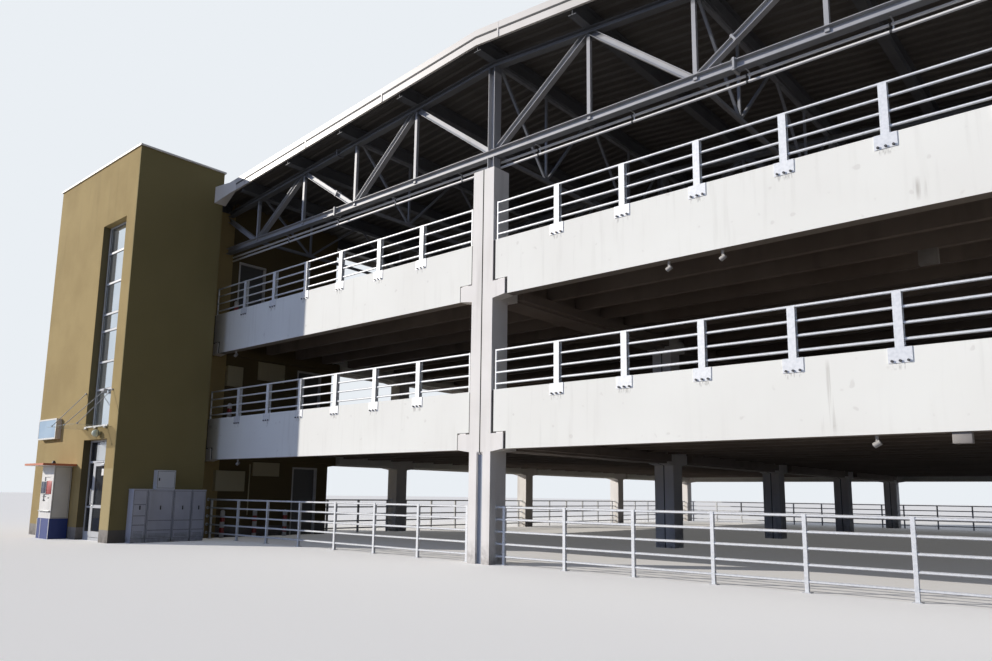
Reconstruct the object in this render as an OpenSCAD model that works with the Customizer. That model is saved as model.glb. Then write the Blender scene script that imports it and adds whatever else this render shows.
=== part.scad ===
// Multi storey car park: two precast concrete parking decks over an open
// ground level, a steel gable roof, and a rendered stair tower at one side.
// The origin is the middle of the front twin column's foot. X runs to the
// right along the front, Y runs into the building and Z is up.

/* [Columns] */
// Width of one shaft of a twin column
shaft_w = 290; // [250:10:360]
// Filled joint between the two shafts of a twin column
shaft_joint = 20; // [10:5:40]
// Depth of every column, front to back
column_d = 510; // [400:10:520]
// Width of a corner or side column
side_column_w = 500; // [450:10:600]
// Height of the column heads above the ground
column_top = 8584; // [8300:10:8900]
// Width of the recess between the shafts at ground level
recess_w = 170; // [100:10:200]
// Depth of that recess
recess_d = 60; // [40:5:100]

/* [Corbels] */
// How far a corbel reaches out of its column
corbel_out = 340; // [280:10:420]
// Height of a corbel at its tip
corbel_h = 330; // [280:10:400]
// How much lower a corbel's underside is at the column
corbel_drop = 50; // [0:5:80]
// Open joint round the notched end of a beam
joint = 25; // [10:5:30]
// Length and width of a bearing pad
pad_w = 180; // [120:10:220]

/* [Storeys] */
// Clear span of a bay, column face to column face
bay_clear = 11070; // [9500:10:12500]
// Distance between the rows of columns, front to back
row_pitch = 7900; // [7000:50:8400]
// Number of bays, front to back
bays_deep = 4; // [2:1:4]
// Underside of the lowest parapet beam above the ground
clear_h = 2359; // [2250:10:2500]
// Height from one deck to the next
storey = 3288; // [3200:10:3400]
// Height of a parapet beam
parapet_h = 1250; // [1150:10:1320]
// Thickness of a parapet beam
parapet_t = 250; // [200:10:300]
// Parapet faces behind the column faces
parapet_back = 30; // [0:5:50]
// Deck surface above the underside of the parapet beam
deck_rise = 950; // [900:10:1000]

/* [Decks] */
// Thickness of a double tee's flange
flange_t = 110; // [90:5:140]
// Depth of a double tee's ribs below the flange
rib_d = 590; // [500:10:610]
// Width of a rib at its foot
rib_foot_w = 130; // [100:10:160]
// Width of a rib at the flange
rib_top_w = 180; // [165:5:220]
// Nominal width of a double tee
tee_w = 2250; // [2000:50:2500]
// How far a ledge reaches under the rib ends
ledge_out = 150; // [120:10:200]
// Height of a ledge
ledge_h = 200; // [160:10:250]

/* [Railings] */
// Top of the deck railing above the parapet
rail_rise = 866; // [800:2:950]
// Distance between the rails of the deck railing, centre to centre
rail_step = 240; // [220:5:250]
// Diameter of the round rails
rail_dia = 48; // [40:1:60]
// Width of an H section railing post
post_w = 125; // [100:5:140]
// Depth of an H section railing post
post_d = 100; // [80:5:120]
// Thickness of the steel in a railing post
post_t = 8; // [6:1:12]
// Distance between railing posts
post_pitch = 1540; // [1400:10:1650]
// Middle of the tube that ends a railing, from the column face
end_tube = 80; // [60:5:120]
// Width of a post's face plate
plate_w = 330; // [240:10:360]
// Height of a post's face plate on the parapet
plate_h = 230; // [200:10:300]
// Thickness of a post's face plate
plate_t = 12; // [8:1:20]
// Top of the ground fence
fence_h = 1188; // [1100:1:1250]
// Distance between the fence posts
fence_pitch = 1506; // [1400:1:1600]
// Distance between the rails of the ground fence, centre to centre
fence_step = 249; // [230:1:270]
// End posts of the fence from the column faces
fence_end = 220; // [150:10:300]
// Side of a square fence post
fence_post = 60; // [50:2:80]
// Middle of the ground fence behind the middle of the columns
fence_back = 30; // [0:5:60]
// Diameter of a bollard
bollard_dia = 140; // [110:5:160]
// Height of a bollard
bollard_h = 850; // [800:10:1000]

/* [Roof steel] */
// Underside of the trusses' bottom chord above the column heads
chord_lift = 386; // [340:2:450]
// Depth of the bottom chord and width of both chords
chord = 180; // [140:10:220]
// Depth of the top chord
top_chord = 140; // [120:10:180]
// Slope of the roof in degrees
roof_pitch = 4.8; // [4:0.1:5.5]
// Underside of the top chord at the ridge, above the ground
apex_h = 11170; // [11000:10:11300]
// Distance from the ridge to the first truss node
first_panel = 2600; // [2400:10:2800]
// Distance between the other truss nodes
panel = 2360; // [2250:10:2400]
// Depth of a diagonal's H section
web = 130; // [100:5:150]
// Side of the square verticals
vertical = 80; // [60:5:120]
// Width of the flanges of the diagonals
web_w = 140; // [100:10:160]
// Width of the flanges of the posts over the columns
post_flange_w = 240; // [180:10:280]
// Thickness of the steel in the open sections
steel_t = 12; // [8:2:16]
// Gable trusses behind the middle of the column heads
truss_in = 80; // [0:10:100]
// Diameter of the two pipes under the gable truss
pipe_dia = 60; // [40:2:70]
// Distance between the pipe hangers
hanger_pitch = 2360; // [1800:10:2600]
// Depth of a purlin
purlin_h = 360; // [300:10:400]
// Width of a purlin
purlin_w = 200; // [140:10:240]
// Side of the square tubes in the bracing between the trusses
brace = 80; // [60:5:100]

/* [Roof skin] */
// Overhang of the roof past the column faces at both gables
gable_out = 345; // [300:5:380]
// Overhang of the roof past the side columns
eaves_out = 650; // [500:10:750]
// Thickness of the roof skin above its ribs
skin_t = 60; // [40:5:100]
// Depth of the ribs in the metal deck
deck_rib_h = 45; // [35:1:60]
// Distance between the ribs in the metal deck
deck_rib_pitch = 300; // [250:10:400]
// Height of the fascia
fascia_h = 360; // [340:10:420]
// Thickness of the fascia
fascia_t = 60; // [40:5:80]
// How far the fascia rises above the roof skin
fascia_lip = 10; // [5:5:40]
// How far the upper band of the fascia stands proud
band_out = 12; // [6:1:20]
// Depth of the boxed end where the fascia meets the stair tower
end_box_d = 340; // [250:10:400]
// Length of that boxed end along the fascia
end_box_l = 680; // [500:10:900]
// Height of that boxed end at the tower
end_box_h = 520; // [400:10:600]
// Foot of that boxed end below the fascia's line
end_box_drop = 325; // [200:5:400]
// Height of the upper band of the fascia
band_h = 150; // [130:5:170]

/* [Stair tower] */
// Width of the tower
tower_w = 5754; // [5400:2:6200]
// Clear distance from the tower's front corner to the twin column
tower_off = 10581; // [10400:1:10750]
// How far the tower stands in front of the column faces
tower_front = 3021; // [2600:1:3400]
// Gap between the tower and the parapets
tower_gap = 407; // [380:1:450]
// How far the stair core runs in behind the column faces
core_in = 4675; // [4200:5:5200]
// Top of the tower walls
tower_top = 11250; // [11200:10:11600]
// Thickness of the tower walls
wall_t = 250; // [200:10:300]
// Height of the plinth
plinth_h = 341; // [250:1:450]
// Movement gap between the tower and the car park
move_gap = 20; // [15:1:30]
// Thickness of the tower's roof and floor slabs
slab_t = 200; // [150:10:250]
// Tower roof below the top of its walls
upstand = 250; // [150:10:400]
// Thickness of the metal coping
coping_t = 50; // [30:5:80]
// How far the coping stands proud of the wall
coping_out = 40; // [20:5:60]

/* [Doors and windows] */
// Distance from the tower's front right corner to the doorway
door_side = 589; // [450:1:700]
// Width of the doorway and of the slot window above it
door_w = 1550; // [1400:10:1700]
// Height of the doorway
door_h = 2820; // [2750:10:2900]
// Sill of the slot window above the head of the doorway
sill_lift = 350; // [350:10:420]
// Head of the slot window below the top of the walls
head_drop = 1980; // [1800:10:2200]
// How far the window sill stands out
sill_out = 30; // [20:5:60]
// Thickness of the window sill
sill_t = 40; // [25:5:50]
// Depth of the reveals
reveal = 200; // [150:5:220]
// Width of a frame member
frame_w = 55; // [45:1:70]
// Depth of a frame member
frame_d = 50; // [40:1:60]
// Width of the fixed side light
side_light = 300; // [250:10:380]
// Top of the door leaf
leaf_top = 2160; // [2100:10:2250]
// Thickness of the glass
glass_t = 12; // [8:1:20]
// Running gap round the door leaf
leaf_gap = 6; // [5:1:10]
// Height of the threshold and of the rails at the door's foot
threshold_h = 80; // [60:5:100]
// Width of a stile or rail of the door leaf
stile_w = 85; // [70:5:100]
// Height of the door's kick rail
kick_h = 160; // [140:5:200]
// Underside of the door's middle rail
lock_rail_z = 900; // [860:10:1000]
// Width of a deck door
deck_door_w = 1000; // [900:10:1100]
// Height of a deck door
deck_door_h = 2250; // [2100:10:2300]
// Clear distance between the lower deck doors and the core's back wall
low_door_off = 195; // [150:5:300]

/* [Fittings] */
// How far the glass canopy stands out
canopy_out = 950; // [800:10:1100]
// Glass canopy past the doorway on each side
canopy_side = 230; // [180:10:300]
// Thickness of the canopy's glass
canopy_t = 18; // [12:2:24]
// Underside of the glass canopy above the head of the doorway
canopy_lift = 315; // [300:5:325]
// Tie rods' wall fixings above the underside of the canopy
rod_rise = 1045; // [900:5:1100]
// Diameter of the tie rods
rod_dia = 16; // [12:1:24]
// Lower ends of the tie rods from the canopy's front edge
rod_edge = 100; // [60:10:200]
// Diameter of the ball lamp
ball_dia = 200; // [160:5:230]
// Ball lamp to the right of the doorway's middle
ball_right = 280; // [0:10:400]
// Width of the light box
sign_w = 1420; // [1200:10:1600]
// Height of the light box
sign_h = 620; // [500:10:700]
// Depth of the light box
sign_d = 150; // [100:5:200]
// Underside of the light box
sign_z = 2930; // [2700:10:3000]
// Right end of the light box from the tower's left corner
sign_x = 1825; // [1600:5:2400]
// Width of the pay kiosk
kiosk_w = 900; // [800:10:1000]
// Depth of the pay kiosk
kiosk_d = 480; // [420:10:560]
// Height of the pay kiosk
kiosk_h = 2080; // [1950:10:2200]
// Clear distance between the pay kiosk and the doorway
kiosk_off = 590; // [500:10:700]
// Height of the pay kiosk's base
kiosk_base = 580; // [500:10:650]
// Thickness of the pay kiosk's roof
kiosk_roof = 60; // [40:5:80]
// Height of the utility cabinets
cabinet_h = 1450; // [1350:10:1550]
// Depth of the utility cabinets
cabinet_d = 300; // [250:10:350]
// First cabinet from the tower's front corner
cabinet_off = 455; // [350:5:600]
// Gap between two cabinets
cabinet_gap = 6; // [3:1:15]
// Height of the cabinets' plinths
cabinet_foot = 90; // [60:10:150]

/* [Hidden] */

// A little more than nothing, for clean cuts
eps = 1;
// Gap under a sloping seat
seat = 0.3;
// Sides of the long tubes
tube_sides = 6;
// More than the length of the building
big = 60000;

// Plan of the car park
twin_w = 2 * shaft_w + shaft_joint;
half_d = column_d / 2;
x_twin = twin_w / 2;
x_side = x_twin + bay_clear;
x_out = x_side + side_column_w;
y_face = -half_d;
y_rear_row = bays_deep * row_pitch;
y_rear = y_rear_row + half_d;
span_y = row_pitch - column_d;

// Levels
function parapet_z(level) = clear_h + (level - 1) * storey;
function deck_z(level) = parapet_z(level) + deck_rise;
rib_foot_z = deck_rise - flange_t - rib_d;
ledge_z = rib_foot_z - ledge_h;
y_parapet = y_face + parapet_back;
notch = corbel_out + joint;

// Plan of the tower
tx0 = -tower_off - tower_w;
tx1 = -tower_off;
ty0 = y_face - tower_front;
ty1 = y_face - tower_gap;
niche_x = -x_out - move_gap;
niche_y = half_d + move_gap;
core_x = -x_side - 50;
core_y = y_face + core_in;
door_x1 = tx1 - door_side;
door_x0 = door_x1 - door_w;
frame_y = ty0 + reveal;
inner_y = ty0 + wall_t;
head_z = tower_top - head_drop;
sill_z = door_h + sill_lift;
canopy_z = door_h + canopy_lift;
rod_z = canopy_z + rod_rise;

// Roof
tan_r = tan(roof_pitch);
function roof_z(x, rise) = apex_h + rise - abs(x) * tan_r;
chord_z = column_top + chord_lift;
chord_rise = top_chord / cos(roof_pitch);
purlin_rise = (top_chord + purlin_h) / cos(roof_pitch) + 2 * seat;
half_panels = [for (i = [0:3]) first_panel + i * panel];
x_post = x_out - side_column_w / 2;
top_nodes = [half_panels[0], half_panels[2]];
low_nodes = [half_panels[1], half_panels[3]];
roof_y0 = y_face - gable_out;
roof_y1 = y_rear + gable_out;
roof_x = x_out + eaves_out;

// Colours
concrete = "#efece6";
soffit = "#8f8a84";
steel = "#c3c7cc";
galvanised = "#d5d8dc";
render = "#b9a36a";
plinth_grey = "#8d8a86";
white_metal = "#f2f2f0";
frame_grey = "#b8bcc0";
glass = "#a9bcc8";

// A box given by its lowest and highest corners
module box(a, b) {
    translate(a) cube(b - a);
}

// An I section of length len along X, centred on Y, its foot at Z 0
module i_beam(len, h, w) {
    rotate([90, 0, 90]) linear_extrude(len) union() {
        translate([-w / 2, 0]) square([w, steel_t]);
        translate([-w / 2, h - steel_t]) square([w, steel_t]);
        translate([-steel_t / 2, 0]) square([steel_t, h]);
    }
}

// A straight square bar between two points
module bar(a, b, size) {
    d = b - a;
    len = norm(d);
    tilt = acos(d[2] / len);
    turn = atan2(d[1], d[0]);
    translate(a) rotate([0, tilt, turn]) translate([-size / 2, -size / 2, 0]) cube([size, size, len]);
}

// Columns
// A bearing pad on top of a corbel
module pad(w, z) {
    translate([corbel_out - pad_w - joint, -(w - 2 * joint) / 2, z + corbel_h - eps])
        cube([pad_w, w - 2 * joint, joint + eps]);
}

// A corbel that reaches along +X out of the plane X 0, w wide about Y 0
module corbel(w, z) {
    translate([-eps, w / 2, z]) rotate([90, 0, 0]) linear_extrude(w)
        polygon([[0, -corbel_drop], [corbel_out + eps, 0], [corbel_out + eps, corbel_h], [0, corbel_h]]);
    pad(w, z);
}

// Corbels at both decks for the front and rear parapets. side gives left or
// right, dir is -1 on the front face and 1 on the rear face.
module parapet_corbels(x, side, y, dir) {
    w = parapet_back + parapet_t;
    for (level = [1, 2])
        translate([x, y + dir * (half_d - w / 2), 0]) rotate(side > 0 ? 0 : 180) corbel(w, parapet_z(level));
}

// Corbels at both decks that reach along Y, dir gives forwards or back
module row_corbels(x, y, w, dir) {
    for (level = [1, 2])
        translate([x, y, 0]) rotate(90 * dir) corbel(w, parapet_z(level));
}

module twin_shafts(y) {
    for (s = [-1, 1])
        translate([s > 0 ? shaft_joint / 2 : -shaft_joint / 2 - shaft_w, y - half_d, 0])
            cube([shaft_w, column_d, column_top]);
    box([-shaft_joint / 2 - eps, y - half_d + shaft_joint, 0],
        [shaft_joint / 2 + eps, y + half_d - shaft_joint, column_top - shaft_joint]);
}

// The recess in the outer face of a twin column, with its slanted head
module twin_recess(y, dir) {
    foot = clear_h - corbel_drop;
    translate([-recess_w / 2, y, 0]) rotate([90, 0, 90]) linear_extrude(recess_w)
        polygon([[dir * (half_d + eps), -eps], [dir * (half_d - recess_d), -eps],
            [dir * (half_d - recess_d), foot - recess_d], [dir * (half_d + eps), foot + eps]]);
}

module gable_twin_column(y, dir) {
    difference() {
        twin_shafts(y);
        twin_recess(y, dir);
    }
    for (s = [-1, 1])
        parapet_corbels(s * x_twin, s, y, dir);
    row_corbels(0, y - dir * half_d, twin_w, -dir);
}

module side_shaft(s, y, top = column_top) {
    box([s > 0 ? x_side : -x_out, y - half_d, 0], [s > 0 ? x_out : -x_side, y + half_d, top]);
}

module front_twin_column() {
    color(concrete) gable_twin_column(0, -1);
}

// The left one stands by the tower and runs up past the truss to the last purlin
module front_corner_columns() {
    color(concrete) {
        side_shaft(-1, 0, roof_z(x_post + purlin_w / 2, chord_rise));
        side_shaft(1, 0);
        for (s = [-1, 1])
            parapet_corbels(s * x_side, -s, 0, -1);
        row_corbels(x_post, half_d, side_column_w, 1);
    }
}

module inner_columns() {
    color(concrete) for (row = [1:bays_deep - 1]) {
        y = row * row_pitch;
        twin_shafts(y);
        for (dir = [-1, 1])
            row_corbels(0, y + dir * half_d, twin_w, dir);
        for (s = [-1, 1], dir = [-1, 1]) {
            side_shaft(s, y);
            row_corbels(s * x_post, y + dir * half_d, side_column_w, dir);
        }
    }
}

module rear_columns() {
    color(concrete) {
        gable_twin_column(y_rear_row, 1);
        for (s = [-1, 1]) {
            side_shaft(s, y_rear_row);
            parapet_corbels(s * x_side, -s, y_rear_row, 1);
            row_corbels(s * x_post, y_rear_row - half_d, side_column_w, -1);
        }
    }
}

// Beams
// Side view of a beam with notched ends, its left column face at X 0
module notched_outline(len, h) {
    step = corbel_h + joint;
    polygon([[joint, step], [notch, step], [notch, 0], [len - notch, 0], [len - notch, step],
        [len - joint, step], [len - joint, h], [joint, h]]);
}

// A beam with notched ends that runs along X, centred on Y
module notched_beam(len, h, w) {
    translate([0, w / 2, 0]) rotate([90, 0, 0]) linear_extrude(w) notched_outline(len, h);
}

module centre_beams() {
    color(concrete) for (level = [1, 2], row = [0:bays_deep - 1])
        translate([0, row * row_pitch + half_d, parapet_z(level)]) rotate(90) {
            notched_beam(span_y, deck_rise, twin_w);
            for (s = [-1, 1])
                translate([notch, s > 0 ? x_twin - eps : -x_twin - ledge_out, ledge_z])
                    cube([span_y - 2 * notch, ledge_out + eps, ledge_h]);
        }
}

// Outline of a double tee, w wide about Y 0, its deck surface at Z 0
module tee_outline(w) {
    translate([-w / 2, -flange_t]) square([w, flange_t]);
    for (s = [-1, 1])
        translate([s * w / 4, 0])
            polygon([[-rib_foot_w / 2, -flange_t - rib_d], [rib_foot_w / 2, -flange_t - rib_d],
                [rib_top_w / 2, -flange_t + eps], [-rib_top_w / 2, -flange_t + eps]]);
}

module deck(level) {
    y0 = y_parapet + parapet_t + joint;
    y1 = y_rear - parapet_back - parapet_t - joint;
    count = round((y1 - y0) / tee_w);
    pitch = (y1 - y0) / count;
    x0 = x_twin + joint;
    x1 = x_side - joint;
    for (s = [-1, 1], i = [0:count - 1])
        translate([s > 0 ? x0 : -x1, y0 + (i + 0.5) * pitch, deck_z(level)])
            rotate([90, 0, 90]) linear_extrude(x1 - x0) tee_outline(pitch - joint);
}

module deck_level_1() {
    color(soffit) deck(1);
}

module deck_level_2() {
    color(soffit) deck(2);
}

// Parapets
module gable_parapets(level, y) {
    for (s = [-1, 1])
        translate([s > 0 ? x_twin : -x_side, y, parapet_z(level)])
            notched_beam(bay_clear, parapet_h, parapet_t);
}

module front_parapets_level_1() {
    color(concrete) gable_parapets(1, y_parapet + parapet_t / 2);
}

module front_parapets_level_2() {
    color(concrete) gable_parapets(2, y_parapet + parapet_t / 2);
}

module rear_parapets() {
    color(concrete) for (level = [1, 2])
        gable_parapets(level, y_rear - parapet_back - parapet_t / 2);
}

// A side beam along +X from a column face at X 0, its outer face at Y 0: the
// parapet, the part that carries the deck and the ledge under the rib ends
module side_beam(len) {
    inner = side_column_w - parapet_back - parapet_t;
    translate([0, parapet_t / 2, 0]) notched_beam(len, parapet_h, parapet_t);
    translate([0, parapet_t + (inner - eps) / 2, 0]) notched_beam(len, deck_rise, inner + eps);
    translate([notch, parapet_t + inner - eps, ledge_z])
        cube([len - 2 * notch, ledge_out + eps, ledge_h]);
}

// Outer face of the side parapets, and the length of the left side beam that
// starts at the stair core
x_parapet = x_out - parapet_back;
core_beam = row_pitch - half_d - core_y;

module side_parapets() {
    color(concrete) for (level = [1, 2], row = [0:bays_deep - 1]) {
        y = row * row_pitch + half_d;
        translate([x_parapet, y, parapet_z(level)]) rotate(90) side_beam(span_y);
        translate([-x_parapet, y + span_y, parapet_z(level)]) rotate(-90)
            side_beam(row > 0 ? span_y : core_beam);
    }
}

// Railings
bollard_y = 350;
bollard_pitch = 1120;
top_rail_z = parapet_h + rail_rise - rail_dia / 2;

// An H section post, its outer flange's face at Y 0 and its middle at X 0
module railing_post(foot, head) {
    for (y = [0, post_d - post_t])
        box([-post_w / 2, y, foot], [post_w / 2, y + post_t, head]);
    box([-post_t / 2, post_t - eps, foot], [post_t / 2, post_d - post_t + eps, head]);
}

// A railing over a parapet of length len along X, the parapet's face at Y 0.
// Each post is bolted to the face by a plate, and a bent tube ends the rails.
module railing(len) {
    posts = round(len / post_pitch) - 1;
    first = (len - (posts - 1) * post_pitch) / 2;
    y_rail = post_d / 2 - plate_t;
    for (i = [0:3])
        translate([end_tube, y_rail, top_rail_z - i * rail_step]) rotate([0, 90, 0])
            cylinder(d = rail_dia, h = len - 2 * end_tube, $fn = tube_sides);
    for (x = [end_tube, len - end_tube])
        translate([x, y_rail, parapet_h]) cylinder(d = rail_dia, h = rail_rise, $fn = tube_sides);
    for (i = [0:posts - 1]) translate([first + i * post_pitch, -plate_t, 0]) {
        railing_post(parapet_h, top_rail_z);
        box([-plate_w / 2, 0, parapet_h - plate_h], [plate_w / 2, plate_t, parapet_h + eps]);
    }
}

module gable_railings(level, y, dir) {
    for (s = [-1, 1])
        translate([s * (x_twin + bay_clear / 2), y, parapet_z(level)]) rotate(dir > 0 ? 0 : 180)
            translate([-bay_clear / 2, 0, 0]) railing(bay_clear);
}

module front_railings_level_1() {
    color(galvanised) gable_railings(1, y_parapet, 1);
}

module front_railings_level_2() {
    color(galvanised) gable_railings(2, y_parapet, 1);
}

module rear_railings() {
    color(galvanised) for (level = [1, 2])
        gable_railings(level, y_rear - parapet_back, -1);
}

module side_railings() {
    color(galvanised) for (level = [1, 2], row = [0:bays_deep - 1]) {
        y = row * row_pitch + half_d;
        translate([x_parapet, y, parapet_z(level)]) rotate(90) railing(span_y);
        translate([-x_parapet, y + span_y, parapet_z(level)]) rotate(-90)
            railing(row > 0 ? span_y : core_beam);
    }
}

// A ground fence of length len along X between two faces, centred on Y
module fence(len) {
    gaps = round((len - 2 * fence_end) / fence_pitch);
    pitch = (len - 2 * fence_end) / gaps;
    for (i = [0:4])
        translate([0, 0, fence_h - rail_dia / 2 - i * fence_step]) rotate([0, 90, 0])
            cylinder(d = rail_dia, h = len, $fn = tube_sides);
    for (i = [0:gaps])
        box([fence_end + i * pitch - fence_post / 2, -fence_post / 2, 0],
            [fence_end + i * pitch + fence_post / 2, fence_post / 2, fence_h]);
}

// Bollards with a domed head in front of the stair core, in a row on the ground
// and one on each deck
module bollards() {
    x = core_x + 2 * bollard_dia;
    for (p = [[bollard_y, 0], [bollard_y + bollard_pitch, 0], [bollard_y + 2 * bollard_pitch, 0],
            [bollard_y, deck_z(1)], [bollard_y, deck_z(2)]])
        translate([x, p[0], p[1]]) {
            cylinder(d = bollard_dia, h = bollard_h - bollard_dia / 2);
            translate([0, 0, bollard_h - bollard_dia / 2]) sphere(d = bollard_dia);
        }
}

module front_fences() {
    color(galvanised) for (s = [-1, 1])
        translate([s > 0 ? x_twin : -x_side, -fence_back, 0]) fence(bay_clear);
}

module outer_fences() {
    color(galvanised) {
        for (s = [-1, 1])
            translate([s > 0 ? x_twin : -x_side, y_rear_row + fence_back, 0]) fence(bay_clear);
        for (row = [0:bays_deep - 1]) {
            y = row * row_pitch + half_d;
            translate([x_post, y, 0]) rotate(90) fence(span_y);
            translate([-x_post, y + span_y, 0]) rotate(-90) fence(row > 0 ? span_y : core_beam);
        }
        bollards();
    }
}

// Roof steel
// A band that follows the roof slope to both sides, between two heights above
// the underside of the top chord, seen from the front
module slope_band(x, low, high) {
    polygon([[-x, roof_z(x, low)], [0, roof_z(0, low)], [x, roof_z(x, low)],
        [x, roof_z(x, high)], [0, roof_z(0, high)], [-x, roof_z(x, high)]]);
}

// A strip of width w between two points of a flat outline, side off its line
module strut(a, b, side, w) {
    d = b - a;
    translate(a) rotate(atan2(d[1], d[0])) translate([0, side - w / 2]) square([norm(d), w]);
}

// Thickness w along Y of a front view
module across(w) {
    rotate([90, 0, 0]) linear_extrude(w, center = true) children();
}

// Thickness w along X of a side view
module sideways(w) {
    rotate([90, 0, 90]) linear_extrude(w, center = true) children();
}

// Where the truss of each row stands
function truss_y(row) = row * row_pitch + (row == 0 ? truss_in : row == bays_deep ? -truss_in : 0);

// The members between the chords as pairs of points: verticals at every node,
// then diagonals that fall and rise in turn, both mirrored about the ridge
strut_low = chord_z + chord / 2;
strut_rise = chord_rise / 2;
function low_point(s, x) = [s * x, strut_low];
function top_point(s, x) = [s * x, roof_z(x, strut_rise)];
verticals = [for (s = [-1, 1], x = half_panels) [low_point(s, x), top_point(s, x)]];
diagonals = [for (s = [-1, 1], p = [
    [low_point(s, 0), top_point(s, top_nodes[0])], [top_point(s, top_nodes[0]), low_point(s, low_nodes[0])],
    [low_point(s, low_nodes[0]), top_point(s, top_nodes[1])],
    [top_point(s, top_nodes[1]), low_point(s, low_nodes[1])],
    [low_point(s, low_nodes[1]), top_point(s, x_post)]]) p];

// The two chords as flat bands
module chord_bands() {
    translate([-x_post - chord / 2, chord_z]) square([2 * x_post + chord, chord]);
    slope_band(x_post + chord / 2, 0, chord_rise);
}

// The two flanges of an H section strut of depth size
module strut_flanges(p, size) {
    for (side = [-1, 1])
        strut(p[0], p[1], side * (size - steel_t) / 2, steel_t);
}

// The posts over the columns, from a base plate on the column head up
module post_flanges() {
    for (x = [-x_post, 0, x_post]) {
        strut_flanges([[x, column_top], [x, roof_z(abs(x), strut_rise)]], chord);
        translate([x - chord / 2 - steel_t, column_top]) square([chord + 2 * steel_t, steel_t]);
    }
}

module chord_flanges() {
    x = x_post + chord / 2;
    for (z = [chord_z, chord_z + chord - steel_t])
        translate([-x, z]) square([2 * x, steel_t]);
    for (rise = [0, chord_rise - steel_t])
        slope_band(x, rise, rise + steel_t);
}

module truss_webs() {
    chord_bands();
    for (p = diagonals)
        strut(p[0], p[1], 0, web);
    for (x = [-x_post, 0, x_post])
        strut([x, column_top], [x, roof_z(abs(x), strut_rise)], 0, chord);
}

// Everything is cut from flat outlines, so the members fuse at the nodes
module truss(y) {
    translate([0, y, 0]) {
        across(steel_t) truss_webs();
        across(chord) chord_flanges();
        across(post_flange_w) difference() {
            post_flanges();
            chord_bands();
        }
        across(vertical) for (p = verticals)
            strut(p[0], p[1], 0, vertical);
        across(web_w) difference() {
            for (p = diagonals)
                strut_flanges(p, web);
            chord_bands();
            for (x = [-x_post, 0, x_post])
                translate([x - chord / 2, 0]) square([chord, apex_h]);
        }
    }
}

// Two pipes along the foot of the gable truss, on hangers from its chord
module truss_pipes() {
    y = truss_in + post_flange_w / 2 + pipe_dia;
    zs = [chord_z - pipe_dia, chord_z - 3 * pipe_dia];
    for (z = zs)
        translate([-x_side, y, z]) rotate([0, 90, 0])
            cylinder(d = pipe_dia, h = 2 * x_side, $fn = tube_sides);
    for (s = [-1, 1], i = [0:3]) {
        x = s * (i + 0.5) * hanger_pitch;
        box([x - steel_t, truss_in, chord_z - steel_t], [x + steel_t, y + steel_t, chord_z + eps]);
        box([x - steel_t, y - steel_t / 2, zs[1]], [x + steel_t, y + steel_t / 2, chord_z - eps]);
    }
}

// The left end of the gable truss butts against the tall corner column
module front_truss() {
    color(steel) {
        difference() {
            truss(truss_y(0));
            box([-x_out, -big, 0], [-x_side, big, big]);
        }
        truss_pipes();
    }
}

module inner_trusses() {
    color(steel) for (row = [1:bays_deep])
        truss(truss_y(row));
}

// Bracing that runs along Y between the trusses under five of the purlins. Its
// low tubes butt against the trusses' verticals, and at the ridge on the posts.
module roof_bracing() {
    thin = brace * 0.7;
    xs = [-low_nodes[1], -low_nodes[0], 0, low_nodes[0], low_nodes[1]];
    color(steel) for (x = xs, row = [0:bays_deep - 1]) {
        len = truss_y(row + 1) - truss_y(row);
        quarter = len / 4;
        high = roof_z(abs(x) + brace / 2, chord_rise) - brace / 2;
        seat_y = (x == 0 ? steel_t : vertical) / 2;
        translate([x, truss_y(row), 0]) {
            sideways(brace) {
                strut([seat_y, strut_low], [len - seat_y, strut_low], 0, brace);
                strut([chord / 2, high], [len - chord / 2, high], 0, brace);
            }
            sideways(thin) for (k = [1, 3]) {
                strut([k * quarter, strut_low], [k * quarter, high], 0, thin);
                for (s = [-1, 1])
                    strut([k * quarter, strut_low], [(k + s * 0.9) * quarter, high], 0, thin);
            }
        }
    }
}

module tower_outline(grow) {
    polygon([[tx0 - grow, ty0 - grow], [tx1 + grow, ty0 - grow], [tx1 + grow, ty1 + grow],
        [niche_x + grow, ty1 + grow], [niche_x + grow, niche_y - grow], [core_x + grow, niche_y - grow],
        [core_x + grow, core_y + grow], [tx0 - grow, core_y + grow]]);
}

module tower_block(grow) {
    linear_extrude(big, center = true) tower_outline(grow);
}

// A purlin over the whole length of the roof, its foot at Z 0
module purlin(h) {
    translate([0, roof_y0 + fascia_t + seat, 0]) rotate(90)
        i_beam(roof_y1 - roof_y0 - 2 * (fascia_t + seat), h, purlin_w);
}

module purlins() {
    color(soffit) difference() {
        union() {
            translate([0, 0, roof_z(0, chord_rise) + seat])
                purlin(purlin_h / cos(roof_pitch) - purlin_w / 2 * tan_r);
            for (x = concat(half_panels, [x_post]), s = [0, 1])
                mirror([s, 0, 0]) translate([x, 0, roof_z(x, chord_rise) + seat]) rotate([0, roof_pitch, 0])
                    purlin(purlin_h);
        }
        tower_block(move_gap);
    }
}

// Section of the metal deck across its ribs, its underside ribs below Z 0
module deck_section() {
    y0 = roof_y0 + fascia_t + seat;
    y1 = roof_y1 - fascia_t - seat;
    count = floor((y1 - y0) / deck_rib_pitch);
    margin = (y1 - y0 - count * deck_rib_pitch) / 2;
    q = deck_rib_pitch / 8;
    wave = [for (i = [count - 1:-1:0], p = [[7, 0], [6, 1], [2, 1], [1, 0]])
        [y0 + margin + i * deck_rib_pitch + p[0] * q, p[1] * deck_rib_h]];
    polygon(concat([[y0, 0], [y0, deck_rib_h + skin_t], [y1, deck_rib_h + skin_t], [y1, 0]], wave));
}

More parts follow.
